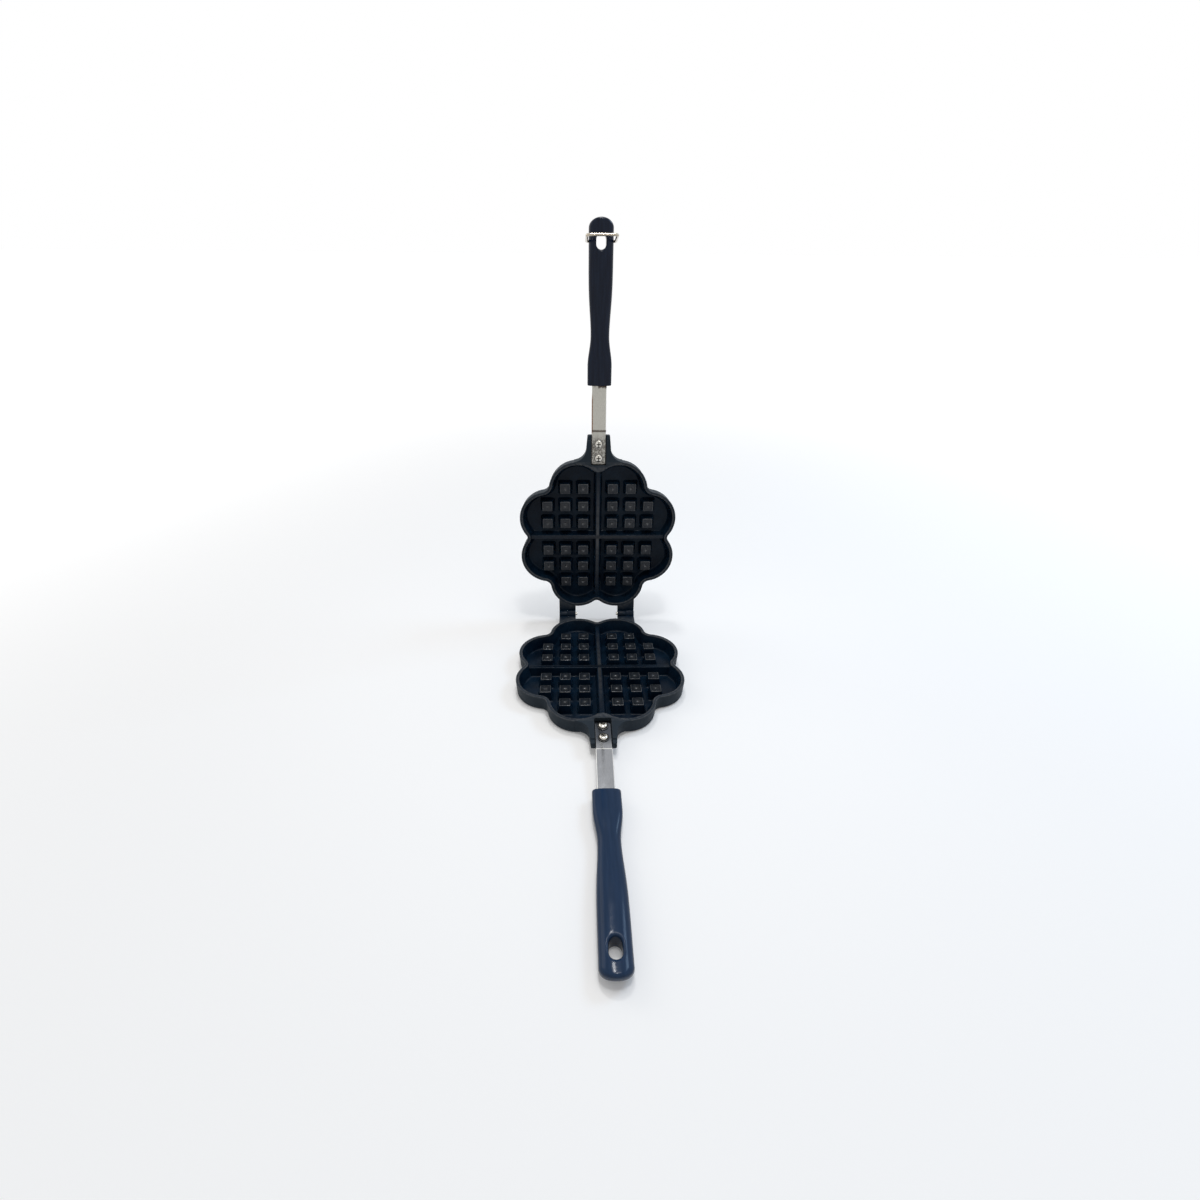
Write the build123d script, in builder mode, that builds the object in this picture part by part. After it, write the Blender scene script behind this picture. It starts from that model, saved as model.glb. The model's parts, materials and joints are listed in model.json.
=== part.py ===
"""Heart waffle cake mould: two hinged cast plates, each with a strip handle, a grip and a latch loop.

The frame's origin is the middle of the lower plate's underside. X runs across, the hinge is towards
+Y, the handles are towards -Y and +Z is up. The mould stands open, as it is shown: the lower half
lies flat and the upper half leans back on the hinge's stops.

Each half is made in a half frame of its own: x across, y towards the hinge and z, called depth here,
away from the parting plane. Both plates are the same casting, so the same functions make both halves.
"""

import os
from math import cos, radians, sin, sqrt, tan

from build123d import *

# Cast plate, in millimetres and degrees. Depths are taken from the parting plane.
plate_depth = 16.0
rim_gap = 0.3
rim_width = 3.2
floor_depth = 13.3
lobe_out = 53.1
lobe_side = 21.7
lobe_radius = 29.9
rib_notch_radius = 5.4
heart_notch_radius = 8.2
outer_draft = 4.0
cavity_draft = 15.5

# Pegs and ribs of the heart cavities.
peg_pitch = 19.0
first_peg = 15.5
peg_count = 3
peg_top = 10.2
peg_draft = 11.5
grid_depth = 3.6
rib_width = 4.2
rib_draft = 10.0

# Hinge.
hinge_overhang = 9.7
open_angle = 94.3
knuckle_inner = 24.0
knuckle_width = 9.0
knuckle_gap = 0.5
knuckle_radius = 4.0
knuckle_clearance = 0.6
hinge_lug_depth = 9.0
heel_reach = 5.5
stop_gap = 0.15
pin_radius = 1.75
pin_clearance = 0.06
pin_stand_out = 1.8

# Forked lug that holds the handle strip.
fork_half_width = 12.4
fork_tip_half_width = 11.3
fork_tip = 109.5
fork_flare = 14.0
fork_step_length = 5.0
fork_step_depth = 1.2
fork_tip_depth = 7.2
fork_root_depth = 13.0
slot_clearance = 0.6
slot_corner_radius = 1.5

# Handle strip and its tang.
strip_width = 14.5
strip_thickness = 2.0
strip_end = 79.6
strip_end_radius = 1.5
strip_seat_depth = 5.5
strip_bend = 113.8
tang_width = 10.0
tang_length = 92.0
tang_shoulder = 8.0

# Screws and washers.
screw_places = (86.4, 100.6)
screw_radius = 2.0
screw_depth = 8.6
screw_clearance = 0.05
strip_hole_clearance = 0.2
head_radius = 3.9
head_height = 2.1
recess_length = 4.4
recess_width = 0.9
recess_depth = 1.2
washer_radius = 5.0
washer_thickness = 0.8

# Grip. Widths are across, heights are in depth, places are from the grip's start.
grip_start = 156.5
grip_length = 139.3
grip_mid_depth = 8.6
collar_width = 23.4
collar_height = 13.0
collar_length = 17.0
waist_width = 17.7
waist_height = 11.4
waist_place = 44.5
swell_width = 22.2
swell_height = 14.5
swell_from_tip = 27.3
section_corner = 4.6
tip_shoulder = 3.6
tip_point = 1.5
tip_shoulder_radius = 6.7
tip_crown_radius = 15.0
tip_back_radius = 12.0
tip_face_radius = 2.4
hang_from_tip = 17.3
hang_width = 8.8
hang_length = 13.8

# Latch loop.
wire_radius = 1.2
loop_length = 27.6
loop_side_gap = 0.7
loop_lean = 6.0
loop_pivot_from_tip = 18.1
loop_pivot_depth_in_grip = 3.6
loop_pivot_clearance = 0.08
loop_corner = 2.0
loop_pivot_bend = 1.2
loop_crown = 0.8

# Values worked out from the sizes above.
rim_depth = rim_gap / 2
hinge_reach = lobe_out + lobe_radius + hinge_overhang
end_face = knuckle_radius + knuckle_clearance
lug_outer = knuckle_inner + 2 * knuckle_width + knuckle_gap
strip_face_depth = strip_seat_depth - strip_thickness
head_seat_depth = strip_face_depth - washer_thickness
slot_half_width = strip_width / 2 + slot_clearance
peg_height = floor_depth - grid_depth
rib_notch_place = lobe_out + sqrt((lobe_radius + rib_notch_radius) ** 2 - lobe_side**2)
rib_reach = rib_notch_place - rib_notch_radius - rim_width / 2
peg_places = [first_peg + n * peg_pitch for n in range(peg_count)]
swell_place = grip_length - swell_from_tip
hang_place = grip_length - hang_from_tip
loop_pivot_place = grip_length - loop_pivot_from_tip
loop_half_width = swell_width / 2 + loop_side_gap + wire_radius


def half_frame(turn, side):
    """Plane of one half: turn is its opening about the hinge, side is +1 above and -1 below."""
    hinge = Vector(0, hinge_reach, plate_depth)
    depth_way = Vector(0, 0, side).rotate(Axis.X, turn)
    hinge_way = Vector(0, 1, 0).rotate(Axis.X, turn)
    return Plane(hinge - hinge_way * hinge_reach, x_dir=(side, 0, 0), z_dir=depth_way)


def side_plane(across=0.0):
    """Plane of a side view of a half: its x is towards the hinge, its y is depth."""
    return Plane.YZ.offset(across)


def cross_plane(place, depth=0.0):
    """Plane of a cross-section at a place towards the handle's tip: its y is depth."""
    return Plane((0, -place, depth), x_dir=(1, 0, 0), z_dir=(0, -1, 0))


def flower(inset=0.0):
    """Sketch of the plate's outline, eight lobes joined by rounded notches, drawn in by inset."""
    lobe = lobe_radius - inset
    centres = [Vector(lobe_out, lobe_side), Vector(lobe_side, lobe_out)]
    centres += [Vector(-centre.X, centre.Y) for centre in reversed(centres)]
    centres += [-centre for centre in centres]
    notch_radii = [heart_notch_radius + inset, rib_notch_radius + inset] * 4
    ends = []
    for here, there, notch in zip(centres, centres[1:] + centres[:1], notch_radii):
        middle = (here + there) / 2
        rise = sqrt((lobe + notch) ** 2 - (there - here).length ** 2 / 4)
        notch_centre = middle + middle.normalized() * rise
        share = lobe / (lobe + notch)
        ends.append([centre + (notch_centre - centre) * share for centre in (here, there)])
    with BuildSketch(mode=Mode.PRIVATE) as outline:
        with BuildLine():
            for (start, end), (following, _), notch in zip(ends, ends[1:] + ends[:1], notch_radii):
                RadiusArc(start, end, notch)
                RadiusArc(end, following, -lobe)
        make_face()
    return outline.sketch


def peg_centres():
    """Centres of one plate's pegs: a square grid in each heart, without its outer corner."""
    last = peg_places[-1]
    quarter = [(x, y) for x in peg_places for y in peg_places if (x, y) != (last, last)]
    return [(x * across, y * along) for across in (1, -1) for along in (1, -1) for x, y in quarter]


def make_peg():
    """One square peg, drafted towards its top."""
    grid = Plane.XY.offset(grid_depth)
    with BuildPart() as peg:
        with BuildSketch(grid):
            Rectangle(peg_top, peg_top)
        extrude(amount=peg_height)
        draft(peg.faces().filter_by(Axis.Z, reverse=True), grid, -peg_draft)
    return peg


def make_plate():
    """One cast plate: flower pan, ribs, pegs, forked lug and hinge knuckles."""
    rim = Plane.XY.offset(rim_depth)
    peg = make_peg()
    with BuildPart() as plate:
        with BuildSketch(rim):
            add(flower())
        extrude(amount=plate_depth - rim_depth, taper=outer_draft)

        # Forked lug for the strip, its flares tangent to the two lobes beside it.
        flare_x = fork_half_width + fork_flare
        flare_y = lobe_out + sqrt((lobe_radius + fork_flare) ** 2 - (flare_x - lobe_side) ** 2)
        reach = lobe_radius / (lobe_radius + fork_flare)
        lobe_x = lobe_side + (flare_x - lobe_side) * reach
        lobe_y = lobe_out + (flare_y - lobe_out) * reach
        with BuildSketch(rim):
            with BuildLine():
                Polyline((0, -lobe_out), (lobe_x, -lobe_out), (lobe_x, -lobe_y))
                RadiusArc((lobe_x, -lobe_y), (fork_half_width, -flare_y), -fork_flare)
                Polyline((fork_half_width, -flare_y), (fork_tip_half_width, -fork_tip), (0, -fork_tip))
                Line((0, -fork_tip), (0, -lobe_out))
            make_face()
            mirror(about=Plane.YZ)
        extrude(amount=fork_root_depth - rim_depth)

        # The lug's underside rises towards its tip, and the prongs step down at their ends.
        with BuildSketch(side_plane()):
            with BuildLine():
                Polyline(
                    (-lobe_out - lobe_radius, fork_root_depth),
                    (-fork_tip - 1, fork_tip_depth),
                    (-fork_tip - 1, fork_root_depth + 1),
                    (-lobe_out - lobe_radius, fork_root_depth + 1),
                    close=True,
                )
            make_face()
            with Locations((-fork_tip, rim_depth)):
                Rectangle(2 * fork_step_length, 2 * fork_step_depth)
        extrude(amount=fork_half_width, both=True, mode=Mode.SUBTRACT)

        # Hinge lugs on both sides, flush with the rim.
        lug_middle = (knuckle_inner + lug_outer) / 2
        lug_length = hinge_reach - end_face - lobe_out
        with BuildSketch(rim):
            with Locations((lug_middle, hinge_reach - end_face), (-lug_middle, hinge_reach - end_face)):
                Rectangle(lug_outer - knuckle_inner, lug_length, align=(Align.CENTER, Align.MAX))
        extrude(amount=hinge_lug_depth - rim_depth)

        # Batter cavity over the whole flower.
        with BuildSketch(rim):
            add(flower(rim_width))
        extrude(amount=floor_depth - rim_depth, taper=cavity_draft, mode=Mode.SUBTRACT)

        # Ribs between the hearts, level with the pegs, run into the notches of the rim.
        rib_spread = peg_height * tan(radians(rib_draft))
        for across in (Plane.XZ, Plane.YZ):
            with BuildSketch(across):
                with BuildLine():
                    Polyline(
                        (rib_width / 2, grid_depth),
                        (rib_width / 2 + rib_spread, floor_depth),
                        (-rib_width / 2 - rib_spread, floor_depth),
                        (-rib_width / 2, grid_depth),
                        close=True,
                    )
                make_face()
            extrude(amount=rib_reach, both=True)
        with Locations(*peg_centres()):
            add(peg.part)

        # Slot and threaded holes for the strip.
        slot_start = strip_end - slot_clearance
        with BuildSketch(rim):
            with Locations((0, -slot_start)):
                RectangleRounded(
                    2 * slot_half_width,
                    2 * (fork_tip - slot_start),
                    slot_corner_radius,
                    align=(Align.CENTER, Align.MAX),
                )
        extrude(amount=strip_seat_depth - rim_depth, mode=Mode.SUBTRACT)
        with BuildSketch(Plane.XY.offset(strip_seat_depth)):
            with Locations(*[(0, -place) for place in screw_places]):
                Circle(screw_radius + screw_clearance)
        extrude(amount=screw_depth + screw_clearance - strip_seat_depth, mode=Mode.SUBTRACT)

        # Knuckles: the inner one on one side, the outer one on the other, each with its stop heel.
        stop_way = Vector(cos(radians(open_angle)), sin(radians(open_angle)))
        heel_rise = end_face - stop_gap
        heel_near = (0, -heel_rise / stop_way.Y)
        heel_far = (heel_reach, -(heel_rise + heel_reach * stop_way.X) / stop_way.Y)
        heel_root = (knuckle_radius / 2, knuckle_radius / 2)
        for start in (knuckle_inner, -lug_outer):
            with BuildSketch(side_plane(start)):
                with Locations((hinge_reach, 0)):
                    Circle(knuckle_radius)
                    Polygon(
                        (-end_face, rim_depth),
                        (0, rim_depth),
                        (0, knuckle_radius),
                        (-end_face, hinge_lug_depth),
                        align=None,
                    )
                    Polygon(heel_near, heel_far, (heel_reach, 0), heel_root, (0, 0), align=None)
            extrude(amount=knuckle_width)
        for start, bore in ((knuckle_inner, pin_radius + pin_clearance), (-lug_outer, pin_radius)):
            with BuildSketch(side_plane(start)):
                with Locations((hinge_reach, 0)):
                    Circle(bore)
            extrude(amount=knuckle_width, mode=Mode.SUBTRACT)
    return plate


def make_strip():
    """Flat steel strip, seated in the fork, set away from the parting plane, with a narrow tang."""
    tang_end = grip_start + tang_length
    tang_face_depth = grip_mid_depth - strip_thickness / 2
    face_line = [
        (-strip_end, strip_face_depth),
        (-strip_bend, strip_face_depth),
        (-grip_start, tang_face_depth),
        (-tang_end, tang_face_depth),
    ]
    back_line = [(along, depth + strip_thickness) for along, depth in reversed(face_line)]
    with BuildPart() as strip:
        with BuildSketch(side_plane()):
            Polygon(*face_line, *back_line, align=None)
        extrude(amount=strip_width / 2, both=True)
        with BuildSketch():
            with Locations((0, -(strip_end + grip_start + tang_shoulder) / 2)):
                Rectangle(strip_width, grip_start + tang_shoulder - strip_end)
            with Locations((0, -(strip_end + tang_end) / 2)):
                Rectangle(tang_width, tang_end - strip_end)
            end_corners = vertices().group_by(Axis.Y)[-1]
            fillet(end_corners, strip_end_radius)
            with Locations(*[(0, -place) for place in screw_places]):
                Circle(screw_radius + strip_hole_clearance, mode=Mode.SUBTRACT)
        extrude(amount=plate_depth, mode=Mode.INTERSECT)
    return strip


def ease(start, end, share):
    """Value that runs smoothly from start to end as share goes from 0 to 1."""
    return start + (end - start) * (1 - cos(radians(180 * share))) / 2


def grip_section(place):
    """Width and height of the grip at a place from its start, before its tip is rounded."""
    if place <= collar_length:
        return collar_width, collar_height
    if place <= waist_place:
        share = (place - collar_length) / (waist_place - collar_length)
        return ease(collar_width, waist_width, share), ease(collar_height, waist_height, share)
    if place <= swell_place:
        share = sin(radians(90 * (place - waist_place) / (swell_place - waist_place)))
        return ease(waist_width, swell_width, share), ease(waist_height, swell_height, share)
    return swell_width, swell_height


def make_grip(tang):
    """Moulded grip: collar, waist and swell in one ruled loft, moulded round the tang."""
    neck_place = (collar_length + waist_place) / 2
    palm_place = (waist_place + swell_place) / 2
    start, tip = -grip_start, -grip_start - grip_length
    face, back = grip_mid_depth - swell_height / 2, grip_mid_depth + swell_height / 2
    with BuildPart() as grip:
        for place in (0, collar_length, neck_place, waist_place, palm_place, swell_place, grip_length):
            width, height = grip_section(place)
            with BuildSketch(cross_plane(grip_start + place, grip_mid_depth)):
                RectangleRounded(width, height, section_corner)
        loft(ruled=True)

        # The tip is crowned in plan, and in side view rounded more on its back than on its face.
        half_width, tip_root = swell_width / 2, tip + swell_from_tip
        shoulders = [(half_width, tip_root), (half_width, tip + tip_shoulder)]
        corners = shoulders + [(0, tip - tip_point)] + [(-x, y) for x, y in reversed(shoulders)]
        with BuildSketch():
            with BuildLine():
                radii = [tip_shoulder_radius, tip_crown_radius, tip_shoulder_radius]
                crown = FilletPolyline(*corners, radius=radii)
                Line(crown @ 1, crown @ 0)
            make_face()
            with Locations((0, tip_root)):
                Rectangle(collar_width, grip_length, align=(Align.CENTER, Align.MIN))
        extrude(amount=plate_depth, mode=Mode.INTERSECT)
        with BuildSketch(side_plane()):
            with BuildLine():
                corners = [(start, face), (tip, face), (tip, back), (start, back)]
                outline = FilletPolyline(*corners, radius=[tip_face_radius, tip_back_radius])
                Line(outline @ 1, outline @ 0)
            make_face()
        extrude(amount=collar_width, both=True, mode=Mode.INTERSECT)

        # Hanging slot through the swell.
        with BuildSketch():
            with Locations((0, -grip_start - hang_place)):
                SlotOverall(hang_length, hang_width, rotation=90)
        extrude(amount=plate_depth, mode=Mode.SUBTRACT)
        add(tang.part, mode=Mode.SUBTRACT)
    return grip


def drill_latch_holes(grip):
    """Grip with a blind hole in each side of its swell for the ends of the latch loop."""
    pivot = (-grip_start - loop_pivot_place, grip_mid_depth)
    with BuildPart() as drilled:
        add(grip.part)
        for across in (1, -1):
            with BuildSketch(side_plane(across * swell_width / 2 + across)):
                with Locations(pivot):
                    Circle(wire_radius + loop_pivot_clearance)
            extrude(amount=-across * (1 + loop_pivot_depth_in_grip), mode=Mode.SUBTRACT)
    return drilled


def make_screw(place):
    """Pan head screw with a cross recess, its head on the washer and its shank in the fork."""
    seat = Plane((0, -place, head_seat_depth), x_dir=(1, 0, 0), z_dir=(0, 0, -1))
    with BuildPart() as screw:
        with BuildSketch(seat):
            Circle(head_radius)
        extrude(amount=head_height)
        with BuildSketch(seat):
            Circle(screw_radius)
        extrude(amount=head_seat_depth - screw_depth)
        with BuildSketch(seat.offset(head_height)):
            Rectangle(recess_length, recess_width)
            Rectangle(recess_width, recess_length)
        extrude(amount=-recess_depth, mode=Mode.SUBTRACT)
    return screw


def make_washer(place):
    """Flat washer between a screw's head and the strip."""
    with BuildPart() as washer:
        with BuildSketch(Plane.XY.offset(head_seat_depth)):
            with Locations((0, -place)):
                Circle(washer_radius)
                Circle(screw_radius + strip_hole_clearance, mode=Mode.SUBTRACT)
        extrude(amount=washer_thickness)
    return washer


def make_pin(across):
    """Hinge pin through one pair of knuckles, standing out a little on its inner side."""
    length = 2 * knuckle_width + knuckle_gap + pin_stand_out
    start = (across * (knuckle_inner - pin_stand_out), hinge_reach, plate_depth)
    with BuildPart() as pin:
        with BuildSketch(Plane(start, x_dir=(0, 1, 0), z_dir=(across, 0, 0))):
            Circle(pin_radius)
        extrude(amount=length)
    return pin


def make_loop(frame):
    """Wire loop of the latch, its two ends turned into the holes of the upper grip."""
    pivot = frame.from_local_coords(Vector(0, -grip_start - loop_pivot_place, grip_mid_depth))
    out = (-frame.z_dir).rotate(Axis((0, 0, 0), frame.x_dir), -loop_lean)
    flat = Plane(pivot, x_dir=frame.x_dir, z_dir=frame.x_dir.cross(out))
    foot = swell_width / 2 - loop_pivot_depth_in_grip + loop_pivot_clearance
    right_side = [
        (foot, 0),
        (loop_half_width - loop_pivot_bend, 0),
        (loop_half_width, loop_pivot_bend),
        (loop_half_width, loop_length - loop_corner),
        (loop_half_width - loop_corner, loop_length),
    ]
    left_side = [(-x, y) for x, y in reversed(right_side)]
    with BuildPart() as loop:
        with BuildLine(flat) as path:
            Polyline(*right_side, (0, loop_length + loop_crown), *left_side)
        with BuildSketch(Plane(path.line @ 0, z_dir=path.line % 0)):
            Circle(wire_radius)
        sweep(transition=Transition.RIGHT)
    return loop


def place_in(frame, made):
    """Copy of a piece, moved from the half frame to its place in the open mould."""
    with BuildPart() as placed:
        with Locations(frame.location):
            add(made.part)
    return placed


strip = make_strip()
plain_grip = make_grip(strip)
half_pieces = {"plate": make_plate(), "strip": strip}
for name, place in zip(("inner", "outer"), screw_places):
    half_pieces[name + "_screw"] = make_screw(place)
    half_pieces[name + "_washer"] = make_washer(place)

lower = half_frame(0, -1)
upper = half_frame(-open_angle, 1)
pieces = {}
for half, frame in (("lower", lower), ("upper", upper)):
    for name, made in half_pieces.items():
        pieces[f"{half}_{name}"] = place_in(frame, made)
pieces["lower_grip"] = place_in(lower, plain_grip)
pieces["upper_grip"] = place_in(upper, drill_latch_holes(plain_grip))
pieces["hinge_pin_left"] = make_pin(-1)
pieces["hinge_pin_right"] = make_pin(1)
pieces["latch_loop"] = make_loop(upper)

os.makedirs("parts", exist_ok=True)
for name, piece in pieces.items():
    piece.part.label = name
    export_step(piece.part, f"parts/{name}.step")
    print(name, len(piece.part.solids()), round(piece.part.volume))
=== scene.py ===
"""Heart waffle cake mould, dressed for its picture.

Two hinged cast plates, each with a strip handle on two screws and a moulded grip, and a wire latch loop
on the upper grip. Sizes are in millimetres in the half frame that both halves share: x runs across, y
towards the hinge and z, called depth, away from the parting plane. Each half's place turns that frame
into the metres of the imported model.
"""

import json
import logging
from dataclasses import dataclass
from enum import Enum
from functools import reduce
from math import atan2, copysign, cos, pi, radians, sin, sqrt, tan
from typing import Sequence

import bmesh
import bpy
from mathutils import Matrix, Vector
from mathutils.kdtree import KDTree


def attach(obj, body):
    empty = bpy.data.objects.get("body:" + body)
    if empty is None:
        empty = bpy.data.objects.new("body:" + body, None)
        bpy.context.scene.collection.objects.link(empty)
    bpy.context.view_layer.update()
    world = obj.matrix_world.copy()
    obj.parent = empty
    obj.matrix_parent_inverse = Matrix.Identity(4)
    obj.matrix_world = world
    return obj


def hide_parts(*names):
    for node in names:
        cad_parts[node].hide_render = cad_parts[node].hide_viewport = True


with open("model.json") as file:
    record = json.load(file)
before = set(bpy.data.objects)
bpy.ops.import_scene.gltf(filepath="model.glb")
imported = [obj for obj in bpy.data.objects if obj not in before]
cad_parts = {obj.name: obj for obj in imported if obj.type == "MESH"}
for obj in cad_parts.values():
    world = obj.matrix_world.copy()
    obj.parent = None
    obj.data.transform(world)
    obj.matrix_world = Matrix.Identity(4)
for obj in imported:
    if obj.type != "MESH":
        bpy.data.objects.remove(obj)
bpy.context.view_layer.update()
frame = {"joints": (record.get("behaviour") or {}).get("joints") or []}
log = logging.getLogger("waffle_mould")

MILLIMETRE = 0.001
OVERSHOOT = 1.0
SAME_POINT = 0.01
Flat = tuple[float, float]
Spot = tuple[float, float, float]
Colour = tuple[float, float, float]
WHITE: Colour = (1.0, 1.0, 1.0)


def joint_of(name: str) -> dict:
    """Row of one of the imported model's joints."""
    return next(joint for joint in frame["joints"] if joint["name"] == name)


def standing(origin: Vector, across: Vector, up: Vector, back: Vector) -> Matrix:
    """Transform that puts the three axes along the given directions, at an origin."""
    return Matrix.Translation(origin) @ Matrix((across, up, back)).transposed().to_4x4()


def in_scene(name: str, data: bpy.types.ID) -> bpy.types.Object:
    """Makes an object of a mesh, lamp or camera and puts it in the scene.

    Args:
        name: Name of the object.
        data: The mesh, lamp or camera.

    Returns:
        The object.
    """
    made = bpy.data.objects.new(name, data)
    bpy.context.scene.collection.objects.link(made)
    return made


class Cut(Enum):
    """How one closed shell changes another."""

    ADD = "UNION"
    REMOVE = "DIFFERENCE"


class Side(Enum):
    """Which half of the mould a piece belongs to, as the sign of its depth."""

    LOWER = -1
    UPPER = 1


@dataclass(frozen=True)
class ProfilePoint:
    """Point of a rounded profile, and the number of the corner that it rounds, or -1."""

    u: float
    v: float
    corner: int = -1


def rounded(
    corners: Sequence[Flat],
    radii: Sequence[float],
    steps: int = 4,
    hold: float = 0.0,
    closed: bool = False,
) -> list[ProfilePoint]:
    """Runs a line through corners and rounds them with arcs.

    Args:
        corners: Points of the line, in order.
        radii: One radius for each inner corner, or for every corner of a closed line.
        steps: Pieces in each arc.
        hold: How far before and after each arc an extra point holds the straight run, or 0 for none.
        closed: Whether the line ends where it starts.

    Returns:
        The points of the rounded line.
    """
    points = [Vector(corner) for corner in corners]
    if closed:
        points = [points[-1]] + points + [points[0]]
    line = [] if closed else [ProfilePoint(*points[0])]
    for number, (before, corner, after, radius) in enumerate(zip(points, points[1:], points[2:], radii)):
        back, ahead = (before - corner).normalized(), (after - corner).normalized()
        half = back.angle(ahead) / 2
        if radius <= 0:
            line.append(ProfilePoint(*corner, number))
            continue
        reach = radius / tan(half)
        centre = corner + (back + ahead).normalized() * radius / sin(half)
        spoke_in, spoke_out = corner + back * reach - centre, corner + ahead * reach - centre
        turn = pi - 2 * half
        if hold:
            line.append(ProfilePoint(*(corner + back * (reach + hold))))
        for step in range(steps + 1):
            share = step / steps
            spoke = (spoke_in * sin((1 - share) * turn) + spoke_out * sin(share * turn)) / sin(turn)
            line.append(ProfilePoint(*(centre + spoke), number))
        if hold:
            line.append(ProfilePoint(*(corner + ahead * (reach + hold))))
    if not closed:
        line.append(ProfilePoint(*points[-1]))
    return line


def pairs(line: Sequence[ProfilePoint]) -> list[Flat]:
    """Points of a rounded line as plain pairs."""
    return [(point.u, point.v) for point in line]


def drawn_in(loop: Sequence[Flat], distance: float) -> list[Flat]:
    """Moves a closed loop's points inwards.

    Args:
        loop: Points of the loop, in order.
        distance: How far each side moves in.

    Returns:
        The moved points.
    """
    points = [Vector(point) for point in loop]
    area = sum(a.x * b.y - b.x * a.y for a, b in zip(points, points[1:] + points[:1]))
    way = 1 if area > 0 else -1
    moved = []
    for before, here, after in zip(points[-1:] + points[:-1], points, points[1:] + points[:1]):
        first, second = (here - before).normalized(), (after - here).normalized()
        inward = Vector((-first.y - second.y, first.x + second.x)) * way
        miter = max(inward.length / 2, 0.5)
        moved.append(tuple(here + inward.normalized() * distance / miter))
    return moved


def quarter_drop(along: float, length: float, drop: float) -> float:
    """Draws a surface in near its end along a quarter ellipse.

    Args:
        along: Distance from the end.
        length: How far from the end the rounding starts.
        drop: How much the surface is drawn in at the end itself.

    Returns:
        How much the surface is drawn in at this distance.
    """
    if along >= length:
        return 0.0
    return drop * (1 - sqrt(max(0.0, 1 - (1 - along / length) ** 2)))


def ease(start: float, end: float, share: float) -> float:
    """Value that runs smoothly from start to end as share goes from 0 to 1."""
    return start + (end - start) * (1 - cos(pi * share)) / 2


def oblong(half_width: float, half_length: float, corner: float, corner_steps: int) -> list[Flat]:
    """Makes a rectangle with rounded corners.

    Args:
        half_width: Half its size across.
        half_length: Half its size along.
        corner: Radius of its corners.
        corner_steps: Pieces in each corner's arc.

    Returns:
        The points of the loop, from the first corner on.
    """
    loop = []
    for quarter, (across, along) in enumerate(((1, 1), (-1, 1), (-1, -1), (1, -1))):
        for step in range(corner_steps + 1):
            angle = (quarter + step / corner_steps) * pi / 2
            x = across * (half_width - corner) + corner * cos(angle)
            y = along * (half_length - corner) + corner * sin(angle)
            loop.append((x, y))
    return loop


def crowned(half_width: float, half_length: float, squareness: float, points: int = 64) -> list[Flat]:
    """Makes a closed loop between an ellipse and a rectangle, with no flat side.

    Args:
        half_width: Half its size across.
        half_length: Half its size along.
        squareness: Power of the curve: 2 makes an ellipse, and more makes squarer corners.
        points: How many points it has.

    Returns:
        The points of the loop.
    """
    loop = []
    for step in range(points):
        angle = 2 * pi * (step + 0.5) / points
        x = copysign(abs(cos(angle)) ** (2 / squareness), cos(angle))
        y = copysign(abs(sin(angle)) ** (2 / squareness), sin(angle))
        loop.append((half_width * x, half_length * y))
    return loop


@dataclass(frozen=True)
class Trait:
    """What a point of a surface tells its material, each from 0 to 1."""

    wear_and_glint: float = 0.0
    outside: float = 0.0
    marked: float = 0.0

    def vector(self) -> Vector:
        """The three values as one vector."""
        return Vector((self.wear_and_glint, self.outside, self.marked))


PLAIN = Trait()
OUTSIDE = Trait(outside=1.0)


class Shell:
    """Closed surface under construction, made of rings of points."""

    def __init__(self) -> None:
        """Starts with no points."""
        self.points: list[Spot] = []
        self.traits: list[Trait] = []
        self.faces: list[tuple[int, ...]] = []

    def stack(
        self, rings: Sequence[Sequence[Spot]], traits: Trait | Sequence[Trait] = PLAIN, tube: bool = False
    ) -> "Shell":
        """Joins rings of as many points each by walls, and closes both ends.

        Args:
            rings: The rings, in order.
            traits: One trait for all rings, or one for each.
            tube: Whether the last ring is joined to the first, with no caps.

        Returns:
            The shell itself.
        """
        count = len(rings[0])
        first = len(self.points)
        if isinstance(traits, Trait):
            traits = [traits] * len(rings)
        for ring, trait in zip(rings, traits):
            self.points.extend(tuple(point) for point in ring)
            self.traits.extend([trait] * count)
        layers = len(rings)
        for layer in range(layers if tube else layers - 1):
            near = first + layer * count
            far = first + (layer + 1) % layers * count
            for step in range(count):
                after = (step + 1) % count
                self.faces.append((near + step, near + after, far + after, far + step))
        if not tube:
            last = first + (layers - 1) * count
            self.faces.append(tuple(range(first, first + count)))
            self.faces.append(tuple(range(last, last + count)))
        return self

    def add(self, other: "Shell") -> "Shell":
        """Takes in another shell, which stays apart from this one.

        Args:
            other: The shell to take in.

        Returns:
            This shell, with both.
        """
        first = len(self.points)
        self.points.extend(other.points)
        self.traits.extend(other.traits)
        self.faces.extend(tuple(first + corner for corner in face) for face in other.faces)
        return self

    def mesh(self, name: str) -> bpy.types.Mesh:
        """Makes a mesh of the shell, its faces turned outwards.

        Args:
            name: Name of the mesh.

        Returns:
            The mesh, in the shell's own millimetres.
        """
        made = bpy.data.meshes.new(name)
        made.from_pydata(self.points, [], self.faces)
        work = bmesh.new()
        work.from_mesh(made)
        bmesh.ops.recalc_face_normals(work, faces=work.faces)
        work.to_mesh(made)
        work.free()
        return made


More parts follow.
